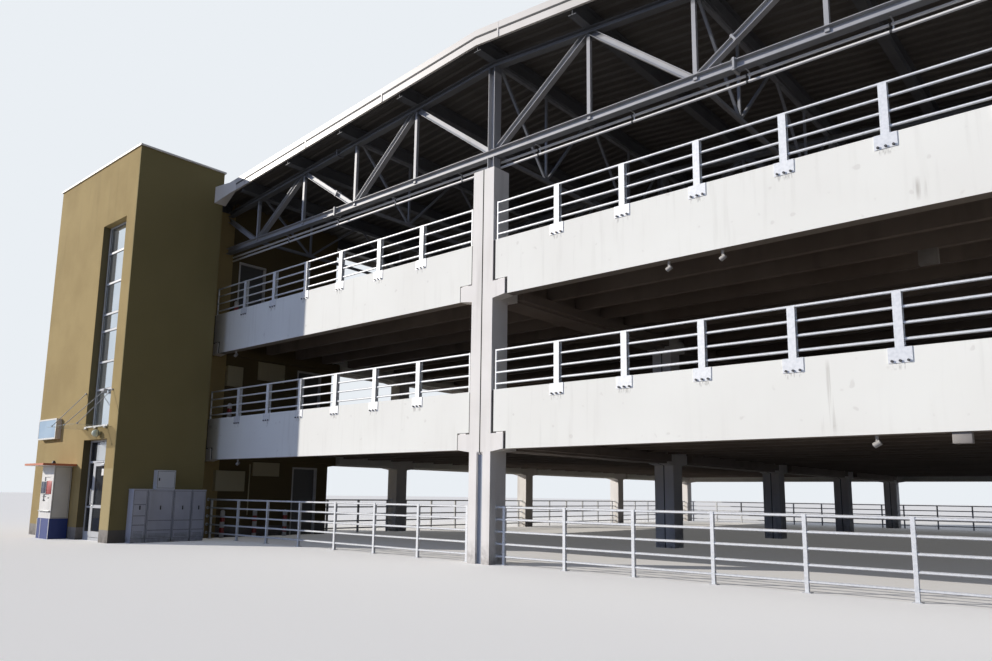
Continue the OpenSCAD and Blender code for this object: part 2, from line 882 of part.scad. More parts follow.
module roof_deck() {
    len = roof_x / cos(roof_pitch) + skin_t;
    color(soffit) difference() {
        for (s = [0, 1]) mirror([s, 0, 0]) intersection() {
            translate([0, 0, roof_z(0, purlin_rise)]) rotate([0, roof_pitch, 0])
                translate([-skin_t, 0, 0]) rotate([90, 0, 90]) linear_extrude(len + skin_t) deck_section();
            box([0, roof_y0, 0], [roof_x - fascia_t - seat, roof_y1, big]);
        }
        tower_block(move_gap);
    }
}

fascia_top = purlin_rise + (deck_rib_h + skin_t) / cos(roof_pitch) + fascia_lip;

module gable_fascia(y, dir) {
    translate([0, y, 0]) rotate([90, 0, dir > 0 ? 0 : 180]) {
        translate([0, 0, -fascia_t]) linear_extrude(fascia_t)
            slope_band(roof_x, fascia_top - fascia_h, fascia_top);
        linear_extrude(band_out) slope_band(roof_x + band_out, fascia_top - band_h, fascia_top);
    }
}

module eaves_fascia(s) {
    low = roof_z(roof_x, fascia_top - fascia_h);
    high = roof_z(roof_x, fascia_top);
    x0 = roof_x - fascia_t;
    mirror([s > 0 ? 0 : 1, 0, 0]) {
        box([x0, roof_y0, low], [roof_x, roof_y1, high]);
        box([roof_x - eps, roof_y0 - band_out, high - band_h], [roof_x + band_out, roof_y1 + band_out, high]);
    }
}

// The boxed end that closes the gable fascia against the side of the tower
module fascia_end() {
    x1 = tx1 + end_box_l;
    y1 = roof_y0 + fascia_t / 2;
    foot = fascia_top - fascia_h;
    low = roof_z(tx1, foot) - end_box_drop;
    tip = fascia_h / 8;
    intersection() {
        linear_extrude(big) polygon([[tx1, roof_y0 - end_box_d], [x1, y1], [tx1, y1]]);
        translate([0, y1, 0]) rotate([90, 0, 0]) linear_extrude(big)
            polygon([[tx1, low], [x1, roof_z(x1, foot + tip)], [x1, roof_z(x1, fascia_top - tip)],
                [tx1, low + end_box_h]]);
    }
}

module fascia() {
    color(white_metal) difference() {
        union() {
            gable_fascia(roof_y0, 1);
            gable_fascia(roof_y1, -1);
            fascia_end();
            for (s = [-1, 1])
                eaves_fascia(s);
        }
        tower_block(eps);
    }
}

// Stair tower
module tower_front_wall_left() {
    color(render) box([tx0, ty0, plinth_h], [door_x0, inner_y, tower_top]);
}

module tower_front_wall_right() {
    color(render) box([door_x1, ty0, plinth_h], [tx1, inner_y, tower_top]);
}

module tower_front_bands() {
    color(render) {
        box([door_x0, ty0, door_h], [door_x1, inner_y, sill_z]);
        box([door_x0, ty0, head_z], [door_x1, inner_y, tower_top]);
    }
}

module tower_right_wall() {
    color(render) {
        box([tx1 - wall_t, inner_y, plinth_h], [tx1, ty1, tower_top]);
        box([niche_x, ty1 - wall_t, plinth_h], [tx1 - eps, ty1, tower_top]);
    }
}

// Doorways from the stair core: their feet and the sides nearer the front. The
// one on the top deck stands further forward than the two below it.
core_wall_y = niche_y + wall_t;
low_door_y = core_y - wall_t - low_door_off - deck_door_w;
deck_doorways = [[-eps, low_door_y], [deck_z(1), low_door_y], [deck_z(2), core_wall_y]];

module deck_doorway_cuts() {
    for (p = deck_doorways)
        box([core_x - wall_t - eps, p[1], p[0]], [core_x + eps, p[1] + deck_door_w, p[0] + deck_door_h]);
}

module tower_core_wall() {
    color(render) {
        difference() {
            union() {
                box([niche_x - wall_t, ty1 - wall_t, plinth_h], [niche_x, niche_y, tower_top]);
                box([niche_x - wall_t, niche_y, plinth_h], [core_x, core_wall_y, tower_top]);
                box([core_x - wall_t, niche_y, plinth_h], [core_x, core_y - wall_t, tower_top]);
            }
            deck_doorway_cuts();
        }
        for (level = [1, 2]) translate([0, 0, parapet_z(level) + ledge_z]) {
            box([core_x, niche_y, 0], [-x_side + ledge_out, core_y, ledge_h]);
            box([core_x - eps, niche_y, 0], [core_x + eps, core_y - wall_t, ledge_h]);
        }
    }
}

module tower_back_wall() {
    color(render) {
        box([tx0, core_y - wall_t, plinth_h], [core_x, core_y, tower_top]);
        box([tx0, inner_y, plinth_h], [tx0 + wall_t, core_y - eps, tower_top]);
        intersection() {
            row_corbels(-x_post, core_y, side_column_w, 1);
            box([-x_out, core_y - eps, 0], [core_x, core_y + 2 * corbel_out, tower_top]);
        }
    }
}

module tower_plinth() {
    color(plinth_grey) difference() {
        linear_extrude(plinth_h) difference() {
            tower_outline(0);
            tower_outline(-wall_t);
        }
        box([door_x0, ty0 - eps, -eps], [door_x1, inner_y + eps, plinth_h + eps]);
        deck_doorway_cuts();
    }
}

module tower_slabs() {
    color(plinth_grey) {
        linear_extrude(threshold_h) tower_outline(-wall_t);
        translate([0, 0, tower_top - upstand - slab_t]) linear_extrude(slab_t) tower_outline(-wall_t);
    }
}

module tower_coping() {
    color(white_metal) translate([0, 0, tower_top]) linear_extrude(coping_t) difference() {
        tower_outline(coping_out);
        tower_outline(-wall_t - coping_out);
    }
}

// Slot window
// Middles of the bars, each by its distance below the head
window_bars = [for (drop = [4980, 4160, 3230, 2720, 1780, 840]) head_z - drop];

module slot_window_frame() {
    color(frame_grey) {
        for (x = [door_x0, door_x1 - frame_w])
            box([x, frame_y, sill_z], [x + frame_w, frame_y + frame_d, head_z]);
        for (z = concat([sill_z + frame_w / 2], window_bars, [head_z - frame_w / 2]))
            box([door_x0, frame_y, z - frame_w / 2], [door_x1, frame_y + frame_d, z + frame_w / 2]);
        // The sill board, which drips clear of the wall
        box([door_x0, ty0 - sill_out, sill_z], [door_x1, frame_y + eps, sill_z + sill_t]);
    }
}

module slot_window_glass() {
    zs = concat([sill_z + frame_w / 2], window_bars, [head_z - frame_w / 2]);
    color(glass) for (i = [0:len(zs) - 2])
        box([door_x0 + frame_w, frame_y + frame_d / 2, zs[i] + frame_w / 2],
            [door_x1 - frame_w, frame_y + frame_d / 2 + glass_t, zs[i + 1] - frame_w / 2]);
}

// Entrance door
transom_z = leaf_top + leaf_gap;
mullion_x = door_x0 + frame_w + side_light;
leaf_x0 = mullion_x + frame_w + leaf_gap;
leaf_x1 = door_x1 - frame_w - leaf_gap;
leaf_z = threshold_h + 2 * leaf_gap;

// Hinges: the pin stands clear of the frame's outer face, in line with the gap
hinge_dia = 20;
hinge_h = 90;
hinge_slit = 0.3;
hinge_plate = [30, 8];
hinge_end = 180;
pin_x = leaf_x1 + leaf_gap / 2;
pin_y = frame_y - hinge_dia / 2 - 2;
hinge_zs = [leaf_z + hinge_end, (leaf_z + leaf_top) / 2, leaf_top - hinge_end - hinge_h];

// One half of each hinge, from z0 to z1 above its foot, its plate on side s
module hinge_halves(z0, z1, s) {
    for (z = hinge_zs) {
        translate([pin_x, pin_y, z + z0]) cylinder(d = hinge_dia, h = z1 - z0);
        box([s > 0 ? pin_x : pin_x - hinge_plate[0], pin_y - hinge_plate[1] / 2, z + z0],
            [s > 0 ? pin_x + hinge_plate[0] : pin_x, frame_y + eps, z + z1]);
    }
}

module door_frame() {
    y1 = frame_y + frame_d;
    color(frame_grey) {
        for (x = [door_x0, door_x1 - frame_w])
            box([x, frame_y, 0], [x + frame_w, y1, door_h]);
        box([mullion_x, frame_y, threshold_h - eps], [mullion_x + frame_w, y1, transom_z + eps]);
        box([door_x0, frame_y, transom_z], [door_x1, y1, transom_z + frame_w]);
        box([door_x0, frame_y, door_h - frame_w], [door_x1, y1, door_h]);
        box([door_x0, frame_y, 0], [door_x1, y1, threshold_h]);
        box([door_x0, frame_y, threshold_h - eps], [mullion_x + eps, y1, threshold_h + kick_h]);
        box([door_x0, frame_y, lock_rail_z], [mullion_x + eps, y1, lock_rail_z + frame_w]);
        hinge_halves(0, hinge_h / 2, 1);
    }
}

module door_side_glass() {
    y0 = frame_y + frame_d / 2;
    x0 = door_x0 + frame_w;
    color(glass) {
        box([x0, y0, transom_z + frame_w], [door_x1 - frame_w, y0 + glass_t, door_h - frame_w]);
        box([x0, y0, threshold_h + kick_h], [mullion_x, y0 + glass_t, lock_rail_z]);
        box([x0, y0, lock_rail_z + frame_w], [mullion_x, y0 + glass_t, transom_z]);
    }
}

module door_leaf() {
    y1 = frame_y + frame_d;
    color(frame_grey) {
        for (x = [leaf_x0, leaf_x1 - stile_w])
            box([x, frame_y, leaf_z], [x + stile_w, y1, leaf_top]);
        box([leaf_x0, frame_y, leaf_z], [leaf_x1, y1, leaf_z + kick_h]);
        box([leaf_x0, frame_y, lock_rail_z], [leaf_x1, y1, lock_rail_z + stile_w]);
        box([leaf_x0, frame_y, leaf_top - stile_w], [leaf_x1, y1, leaf_top]);
        hinge_halves(hinge_h / 2 + hinge_slit, hinge_h, -1);
        door_handle();
    }
}

// An upright pull handle on two stand-offs, on the outer face of the leaf
handle_dia = 30;
handle_len = 450;
handle_out = 60;

module door_handle() {
    x = leaf_x0 + stile_w / 2;
    z = lock_rail_z + stile_w;
    translate([x, frame_y - handle_out, z]) cylinder(d = handle_dia, h = handle_len);
    for (dz = [handle_dia, handle_len - handle_dia])
        translate([x, frame_y + eps, z + dz]) rotate([90, 0, 0]) cylinder(d = handle_dia / 2, h = handle_out);
}

module door_leaf_glass() {
    y0 = frame_y + frame_d / 2;
    color(glass) {
        box([leaf_x0 + stile_w, y0, leaf_z + kick_h], [leaf_x1 - stile_w, y0 + glass_t, lock_rail_z]);
        box([leaf_x0 + stile_w, y0, lock_rail_z + stile_w],
            [leaf_x1 - stile_w, y0 + glass_t, leaf_top - stile_w]);
    }
}

// Closed steel doors, each in a frame that lines its doorway and laps the wall
module deck_doors() {
    color(frame_grey) for (p = deck_doorways) {
        foot = max(p[0], 0);
        head = p[0] + deck_door_h;
        box([core_x - wall_t / 2 - frame_d / 2, p[1], foot],
            [core_x - wall_t / 2 + frame_d / 2, p[1] + deck_door_w, head]);
        for (y = [p[1], p[1] + deck_door_w - frame_w])
            box([core_x - wall_t / 2, y, foot], [core_x, y + frame_w, head]);
        box([core_x - wall_t / 2, p[1], head - frame_w], [core_x, p[1] + deck_door_w, head]);
    }
}

// Fittings
canopy_x0 = door_x0 - canopy_side;
canopy_x1 = door_x1 + canopy_side;
door_mid = (door_x0 + door_x1) / 2;
rod_foot = [ty0 - canopy_out + rod_edge, canopy_z + canopy_t];
boss_dia = 50;
boss_t = 20;

module door_canopy() {
    color(glass) box([canopy_x0, ty0 - canopy_out, canopy_z], [canopy_x1, ty0, canopy_z + canopy_t]);
}

// A tie rod from a boss on the upright face at y down to a boss on the canopy
module canopy_rod(x, y) {
    bar([x, y - boss_t, rod_z], [x, rod_foot[0], rod_foot[1] + boss_t], rod_dia);
    translate([x, y, rod_z]) rotate([90, 0, 0]) cylinder(d = boss_dia, h = boss_t + rod_dia);
    translate([x, rod_foot[0], rod_foot[1]]) cylinder(d = boss_dia, h = boss_t + rod_dia);
}

// The outer rods hold to the walls, the middle one to a bracket on the window
module canopy_rods() {
    bracket_y = ty0 + reveal / 2;
    color(steel) {
        for (s = [-1, 1])
            canopy_rod(door_mid + s * (door_w / 2 + canopy_side / 2), ty0);
        canopy_rod(door_mid, bracket_y);
        box([door_mid - boss_dia / 2, bracket_y - eps, rod_z - boss_dia / 2],
            [door_mid + boss_dia / 2, frame_y, window_bars[0]]);
    }
}

// A small floodlight under a beam, its head tilted forward
module floodlight() {
    translate([0, 0, -flood_arm]) cylinder(d = flood_dia / 3, h = flood_arm);
    translate([0, 0, -flood_arm]) rotate([0, flood_tilt, 0])
        translate([0, 0, -flood_len / 2]) cylinder(d = flood_dia, h = flood_len);
}

flood_dia = 100;
flood_len = 220;
flood_arm = 130;
flood_tilt = 60;
// Where the floodlights and the junction boxes hang under the front parapets:
// level, left or right bay, and distance from the bay's outer column
floods = [[2, -1, 1180], [1, -1, 1670], [2, 1, 6950], [2, 1, 5920], [1, 1, 3640]];
junctions = [[2, 1, 3220], [1, 1, 2540]];
junction_box = [160, 120, 70];

module lamps() {
    y = y_parapet + parapet_t / 2;
    color(white_metal) {
        translate([door_mid + ball_right, ty0, door_h + canopy_lift / 2]) {
            translate([0, -ball_dia * 0.6, 0]) sphere(d = ball_dia);
            rotate([90, 0, 0]) cylinder(d = ball_dia * 0.4, h = ball_dia * 0.3);
        }
        for (p = floods)
            translate([p[1] * (x_side - p[2]), y, parapet_z(p[0])]) floodlight();
        for (p = junctions)
            translate([p[1] * (x_side - p[2]), y - junction_box[1] / 2, parapet_z(p[0]) - junction_box[2]])
                cube(junction_box);
    }
}

// Boxes and blank panels on the core wall: front side, foot, width, height, depth
core_panels = [[77, 1420, 1000, 630, 160], [285, 4720, 530, 640, 160],
    [1447, 1920, 990, 440, 40], [1437, 5050, 1010, 600, 40]];
// The upright pipe beside them: place, foot, length, diameter
core_pipe = [1347, 680, 1610, 40];

module light_box() {
    color(white_metal) {
        box([tx0 + sign_x - sign_w, ty0 - sign_d, sign_z], [tx0 + sign_x, ty0, sign_z + sign_h]);
        for (p = core_panels) {
            x = p[0] < niche_y ? -x_side : core_x;
            box([x, p[0], p[1]], [x + p[4], p[0] + p[2], p[1] + p[3]]);
        }
        translate([core_x + core_pipe[3] / 2, core_pipe[0], core_pipe[1]])
            cylinder(d = core_pipe[3], h = core_pipe[2], $fn = tube_sides);
    }
}

// How far the kiosk's roof stands out to the left, the right and the front
kiosk_eaves = [300, 250, 400];
kiosk_back = 20;
kiosk_lap = 15;
// The recess round the kiosk's screen and slots: width, height, depth, foot
kiosk_recess = [420, 700, 25, 1060];

module pay_kiosk() {
    x1 = door_x0 - kiosk_off;
    x0 = x1 - kiosk_w;
    y1 = ty0 - kiosk_back;
    y0 = y1 - kiosk_d;
    mid = (x0 + x1) / 2;
    color(white_metal) {
        difference() {
            box([x0, y0, kiosk_base - eps], [x1, y1, kiosk_h]);
            box([mid - kiosk_recess[0] / 2, y0 - eps, kiosk_recess[3]],
                [mid + kiosk_recess[0] / 2, y0 + kiosk_recess[2], kiosk_recess[3] + kiosk_recess[1]]);
        }
        box([x0 - kiosk_lap, y0 - kiosk_lap, 0], [x1 + kiosk_lap, y1, kiosk_base]);
        box([x0 - kiosk_eaves[0], y0 - kiosk_eaves[2], kiosk_h - eps],
            [x1 + kiosk_eaves[1], ty0, kiosk_h + kiosk_roof]);
    }
}

cabinet_ws = [410, 740, 540, 430];
cabinet_lid = [15, 30];
// The meter box on the wall over the cabinets: start, width, depth, height
meter_box = [1120, 540, 200, 530];
function run(list, n) = n <= 0 ? 0 : list[n - 1] + run(list, n - 1);

// A steel street cabinet of width w on a plinth, under a lid that laps it
module cabinet(w) {
    box([0, cabinet_lid[0], 0], [cabinet_d - cabinet_lid[0], w - cabinet_lid[0], cabinet_foot + eps]);
    box([0, cabinet_lid[0] / 2, cabinet_foot],
        [cabinet_d, w - cabinet_lid[0] / 2, cabinet_h - cabinet_lid[1] + eps]);
    box([0, 0, cabinet_h - cabinet_lid[1]], [cabinet_d + cabinet_lid[0], w, cabinet_h]);
}

module utility_cabinets() {
    y0 = ty0 + cabinet_off;
    color(white_metal) {
        for (i = [0:3])
            translate([tx1, y0 + run(cabinet_ws, i) + cabinet_gap / 2, 0])
                cabinet(cabinet_ws[i] - cabinet_gap);
        box([tx1, ty0 + meter_box[0], cabinet_h],
            [tx1 + meter_box[2], ty0 + meter_box[0] + meter_box[1], cabinet_h + meter_box[3]]);
    }
}

front_twin_column();
front_corner_columns();
inner_columns();
rear_columns();
centre_beams();
deck_level_1();
deck_level_2();
front_parapets_level_1();
front_parapets_level_2();
rear_parapets();
side_parapets();
front_railings_level_1();
front_railings_level_2();
rear_railings();
side_railings();
front_fences();
outer_fences();
front_truss();
inner_trusses();
roof_bracing();
purlins();
roof_deck();
fascia();
tower_front_wall_left();
tower_front_wall_right();
tower_front_bands();
tower_right_wall();
tower_core_wall();
tower_back_wall();
tower_plinth();
tower_slabs();
tower_coping();
slot_window_frame();
slot_window_glass();
door_frame();
door_side_glass();
door_leaf();
door_leaf_glass();
deck_doors();
door_canopy();
canopy_rods();
lamps();
light_box();
pay_kiosk();
utility_cabinets();
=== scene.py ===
import math
import bpy
from mathutils import Matrix, Vector


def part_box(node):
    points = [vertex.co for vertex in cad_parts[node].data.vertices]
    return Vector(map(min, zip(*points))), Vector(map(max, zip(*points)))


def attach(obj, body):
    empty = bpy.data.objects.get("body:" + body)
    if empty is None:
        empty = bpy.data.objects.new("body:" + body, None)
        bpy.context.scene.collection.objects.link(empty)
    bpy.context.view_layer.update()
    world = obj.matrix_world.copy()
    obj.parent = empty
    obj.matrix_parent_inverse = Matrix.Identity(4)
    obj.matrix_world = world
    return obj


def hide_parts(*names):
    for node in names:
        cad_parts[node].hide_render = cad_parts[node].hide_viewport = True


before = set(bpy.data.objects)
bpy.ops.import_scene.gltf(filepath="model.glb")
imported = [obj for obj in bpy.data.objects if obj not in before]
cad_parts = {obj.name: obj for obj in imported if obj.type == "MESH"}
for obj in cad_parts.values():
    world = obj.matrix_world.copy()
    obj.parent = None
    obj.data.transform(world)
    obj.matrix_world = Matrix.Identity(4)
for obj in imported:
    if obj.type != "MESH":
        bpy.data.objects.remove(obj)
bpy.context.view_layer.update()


# Columns: precast concrete, rolled with masonry paint on site. The paint hides
# the pores but shows clouds, rain streaks and splashed dirt at the foot.
def linear(colour):
    """A colour written as sRGB hex, in linear light."""
    parts = [int(colour[i:i + 2], 16) / 255 for i in (1, 3, 5)]
    return [c / 12.92 if c <= 0.04045 else ((c + 0.055) / 1.055) ** 2.4 for c in parts] + [1.0]


def add_node(tree, kind, inputs=None, **settings):
    """Adds a shader node with its settings; inputs are values or the sockets they come from."""
    node = tree.nodes.new("ShaderNode" + kind)
    for name, value in settings.items():
        setattr(node, name, value)
    for name, value in (inputs or {}).items():
        if isinstance(value, bpy.types.NodeSocket):
            tree.links.new(value, node.inputs[name])
        else:
            node.inputs[name].default_value = value
    return node


def start_finish(name, roughness, metallic=0.0, ior=1.5):
    """A new material, its node tree, its shader and the object's own coordinates."""
    material = bpy.data.materials.new(name)
    material.use_nodes = True
    tree = material.node_tree
    shader = tree.nodes["Principled BSDF"]
    shader.inputs["Roughness"].default_value = roughness
    shader.inputs["Metallic"].default_value = metallic
    shader.inputs["IOR"].default_value = ior
    return material, tree, shader, add_node(tree, "TexCoord").outputs["Object"]


def clouds(tree, place, size, low, high, detail=4.0, stretch=(1, 1, 1)):
    """Soft patches about size metres across, 0 below low and 1 above high."""
    spread = add_node(tree, "Mapping", {"Vector": place, "Scale": [s / size for s in stretch]})
    noise = add_node(tree, "TexNoise",
                     {"Vector": spread.outputs[0], "Scale": 1.0, "Detail": detail})
    return add_node(tree, "MapRange", {"Value": noise.outputs[0], "From Min": low,
                                       "From Max": high}).outputs[0]


def all_of(tree, *shares):
    """The product of some shares: 1 only where each of them is 1."""
    product = shares[0]
    for share in shares[1:]:
        product = add_node(tree, "Math", {0: product, 1: share}, operation="MULTIPLY").outputs[0]
    return product


def tint(tree, share, a, b, factor=1.0):
    """Colour a where share is 0, turning to colour b by factor where it is 1."""
    return add_node(tree, "Mix", {0: all_of(tree, share, factor), 6: a, 7: b},
                    data_type="RGBA").outputs[2]


def weathered(name, colour, patch, dirt, roughness, patch_size=1.4, dirt_share=0.35, grit=0.004,
              grit_depth=0.0006, metallic=0.0, splash=0.0, run_width=0.22):
    """A coated surface: patches of a second tone, dirt run down in streaks, grit, splashed dirt.

    Sizes are in metres. Real grit is finer; it is drawn at 1 to 6 mm, so that it shows."""
    material, tree, shader, place = start_finish(name, roughness, metallic)
    patches = clouds(tree, place, patch_size, 0.4, 0.65)
    tone = tint(tree, patches, linear(colour), linear(patch))
    drawn_down, group_size, drop_size = (1, 1, 0.07), 2.6, 0.12
    runs = clouds(tree, place, run_width, 0.52, 0.78, 5.0, drawn_down)
    runs = all_of(tree, runs, clouds(tree, place, group_size, 0.42, 0.6, 2.0))
    tone = tint(tree, runs, tone, linear(dirt), dirt_share)
    if splash:
        height = add_node(tree, "SeparateXYZ", {0: place}).outputs[Z]
        low = add_node(tree, "MapRange", {"Value": height, "From Min": splash, "From Max": 0.0})
        drops = all_of(tree, low.outputs[0], clouds(tree, place, drop_size, 0.3, 0.7))
        tone = tint(tree, drops, tone, linear(dirt), 0.85)
    tree.links.new(tone, shader.inputs["Base Color"])
    grains = clouds(tree, place, grit, 0.3, 0.7, 3.0)
    bump = add_node(tree, "Bump", {"Height": grains, "Distance": grit_depth, "Strength": 1.0})
    tree.links.new(bump.outputs[0], shader.inputs["Normal"])
    return material


def within(material, axis, low, high, soft=0.004):
    """1 where the object's own coordinate lies from low to high, fading over soft metres."""
    tree = material.node_tree
    place = tree.nodes["Texture Coordinate"].outputs["Object"]
    along = add_node(tree, "SeparateXYZ", {0: place}).outputs[axis]
    rise = {"Value": along, "From Min": low - soft, "From Max": low}
    fall = {"Value": along, "From Min": high + soft, "From Max": high}
    return all_of(tree, *[add_node(tree, "MapRange", side).outputs[0] for side in (rise, fall)])


def overlay(material, colour, factor, *shares):
    """Lays a second colour over a finish where all the shares are 1."""
    tree = material.node_tree
    base = tree.nodes["Principled BSDF"].inputs["Base Color"]
    below = base.links[0].from_socket
    tree.links.new(tint(tree, all_of(tree, *shares), below, linear(colour), factor), base)


def finish(material, *names):
    """Gives CAD nodes a finish."""
    for name in names:
        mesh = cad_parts[name].data
        mesh.materials.clear()
        mesh.materials.append(material)


X, Y, Z = 0, 1, 2
ochre, ochre_patch, ochre_dirt = "#a5905f", "#9a8555", "#655839"
column_paint = weathered("masonry_paint", "#f5f2ee", "#ebe8e3", "#8d8780", 0.82, dirt_share=0.4,
                         splash=0.5)
# The corner column is rendered with the tower. The joint between the twins is
# dark. The recess at their foot is painted a cooler grey: painted shade, for the
# shadow that lies in it.
overlay(column_paint, ochre, 1.0, within(column_paint, X, -12.5, -11.3),
        within(column_paint, Y, -1.0, 5.0))
joint_half, recess_half, recess_top = 0.014, 0.085, 2.31
overlay(column_paint, "#3b3936", 1.0, within(column_paint, X, -joint_half, joint_half, 0.003))
overlay(column_paint, "#8c95a3", 0.9, within(column_paint, X, -recess_half, recess_half, 0.001),
        within(column_paint, Y, -0.199, -0.18, 0.002), within(column_paint, Z, -0.1, recess_top))
finish(column_paint, "front_twin_column", "front_corner_columns", "inner_columns", "rear_columns")


# Movement joint down the twin column: a bead of sealant, gunned in on a foam
# cord, its face drawn in between the arrises and cracked with age.
def start_piece(name):
    """Names the primitive that was just added and puts its place in its mesh."""
    piece = bpy.context.object
    piece.name = piece.data.name = name
    bpy.ops.object.transform_apply(location=True, rotation=True, scale=True)
    return piece


def round_edges(edge, segments=1):
    """Rounds every arris of the active piece by edge."""
    bpy.ops.object.mode_set(mode="EDIT")
    bpy.ops.mesh.select_all(action="SELECT")
    bpy.ops.mesh.bevel(offset=edge, segments=segments, affect="EDGES")
    bpy.ops.object.mode_set(mode="OBJECT")


def folded_box(name, low, high, edge, segments=1):
    """A box between two corners with its arrises rounded by edge."""
    bpy.ops.object.select_all(action="DESELECT")
    bpy.ops.mesh.primitive_cube_add(size=1, location=[(a + b) / 2 for a, b in zip(low, high)],
                                    scale=[b - a for a, b in zip(low, high)])
    piece = start_piece(name)
    round_edges(edge, segments)
    return piece


def select_only(*pieces):
    """Selects pieces, the first of them active."""
    bpy.ops.object.select_all(action="DESELECT")
    for piece in pieces:
        piece.select_set(True)
    bpy.context.view_layer.objects.active = pieces[0]


def fit(piece, material, body="building"):
    """Gives a finished piece its material and the body it rides on."""
    piece.data.materials.clear()
    piece.data.materials.append(material)
    select_only(piece)
    bpy.ops.object.shade_smooth_by_angle(angle=math.radians(35))
    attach(piece, body)


sealant = weathered("polysulphide_sealant", "#3f3b37", "#302d2a", "#1f1d1b", 0.75, 0.3, 0.5,
                    0.003, 0.001)
column_top = 8.58
bead = folded_box("column_joint_sealant", (-0.0095, -0.246, recess_top),
                  (0.0095, -0.238, column_top), 0.003, 2)
fit(bead, sealant)


# Joints between the parapets and their corbels: dark strips of the same sealant
# lie over each stepped joint and the parapet's arris beside it, so each joint is
# drawn as a dark line. The strips are partly the dark sealant and partly painted
# shade, for the shade inside the joint.
def join(name, parts):
    """Joins like pieces to one object."""
    select_only(*parts)
    if len(parts) > 1:
        bpy.ops.object.join()
    piece = bpy.context.object
    piece.name = piece.data.name = name
    return piece


x_twin, x_side = 0.3, 11.37
row_pitch, bays_deep = 7.9, 4
y_rear = bays_deep * row_pitch
parapet_feet, parapet_h, parapet_out = (2.359, 5.647), 1.25, 0.225
joint, joint_shade_w, corbel_out, corbel_h = 0.025, 0.022, 0.34, 0.33
strip_t = 0.003
strips = []
for y in (-parapet_out - strip_t, y_rear + parapet_out):
    for x, way in ((x_twin, 1), (-x_twin, -1), (x_side, -1), (-x_side, 1)):
        for foot in parapet_feet:
            tip, top = x + way * corbel_out, foot + corbel_h
            gap, over = way * (joint + joint_shade_w), top + joint + 0.01
            legs = ((x, x + gap, over, foot + parapet_h - 0.01), (x, tip + gap, top, over),
                    (tip, tip + gap, foot + 0.005, top))
            for x0, x1, z0, z1 in legs:
                strips.append(folded_box("strip", (min(x0, x1), y, z0),
                                         (max(x0, x1), y + strip_t, z1), 0.001))
fit(join("parapet_joint_sealant_and_shade", strips), sealant)

# Decks and centre beams: double tees cast in steel moulds, left bare, so the
# soffit is smooth, grey-brown and stained along the joints.
bare_precast = weathered("bare_precast", "#857a71", "#766a61", "#453d37", 0.88, 1.8, 0.5, 0.006,
                         run_width=0.5)
finish(bare_precast, "centre_beams", "deck_level_1", "deck_level_2")

# Parapets: precast edge beams with the same paint outside. It is fresher here,
# with faint runs below the post plates and filled lifting points.
parapet_paint = weathered("parapet_paint", "#f5f6f0", "#efefe9", "#b1aea5", 0.8, 3.2, 0.2, 0.004,
                          0.0004, run_width=0.12)
tree = parapet_paint.node_tree
place = tree.nodes["Texture Coordinate"].outputs["Object"]
overlay(parapet_paint, "#cfccc6", 0.35, clouds(tree, place, 0.2, 0.71, 0.76, 1.0))

# Drips of dust hang below each plate of the railing, 260 mm wide.
first_post, post_pitch, plate_h, plate_t = 1.985, 1.54, 0.23, 0.012
drips_w, edge = 0.26, 0.01
along = add_node(tree, "SeparateXYZ", {0: place}).outputs[X]
along = add_node(tree, "Math", {0: along}, operation="ABSOLUTE").outputs[0]
for operation, value in (("SUBTRACT", first_post - drips_w / 2), ("MODULO", post_pitch)):
    along = add_node(tree, "Math", {0: along, 1: value}, operation=operation).outputs[0]
from_plate = add_node(tree, "MapRange", {"Value": along, "From Min": drips_w + edge,
                                         "From Max": drips_w - edge}).outputs[0]
past_first = add_node(tree, "MapRange", {"Value": along, "From Min": -edge,
                                         "From Max": 0.0}).outputs[0]
below_plate = all_of(tree, from_plate, past_first)
drips = clouds(tree, place, 0.03, 0.5, 0.62, 2.0, (1, 1, 0.25))
for foot in parapet_feet:
    plate_foot = foot + parapet_h - plate_h
    overlay(parapet_paint, "#8a867f", 0.4, below_plate, drips,
            within(parapet_paint, Z, plate_foot - 0.06, plate_foot, 0.05))

# Two longer stains run down the right bay. The undersides are bare and brown.
front = within(parapet_paint, Y, -0.3, -0.2)
runs = clouds(tree, place, 0.07, 0.5, 0.66, 3.0, (1, 1, 0.03))
for low_x, high_x, low_z, high_z in ((7.0, 7.2, 2.5, 3.4), (8.5, 8.64, 5.88, 5.98)):
    overlay(parapet_paint, "#8d857a", 0.45, front, runs,
            within(parapet_paint, X, low_x, high_x, 0.05),
            within(parapet_paint, Z, low_z, high_z, 0.15))
for foot in parapet_feet:
    overlay(parapet_paint, "#6a5c50", 0.9,
            within(parapet_paint, Z, foot - 0.01, foot + 0.0005, 0.001))
finish(parapet_paint, "front_parapets_level_1", "front_parapets_level_2", "rear_parapets",
       "side_parapets")


# Railings: welded tube and H posts, hot-dip galvanised and weathered to a pale
# matt zinc. Each post plate holds to the parapet by three anchor bolts.
def set_out(piece, places):
    """Copies a piece modelled at the origin to places (x, y, z, turn) and joins the copies."""
    copies = []
    for x, y, z, turn in places:
        select_only(piece)
        bpy.ops.object.duplicate()
        copy = bpy.context.object
        copy.location = (x, y, z)
        copy.rotation_euler = (0, 0, math.radians(turn))
        copies.append(copy)
    select_only(*copies)
    name = piece.name
    bpy.ops.object.transform_apply(location=True, rotation=True, scale=True)
    bpy.ops.object.join()
    bpy.data.objects.remove(piece)
    joined = bpy.context.object
    joined.name = joined.data.name = name
    return joined


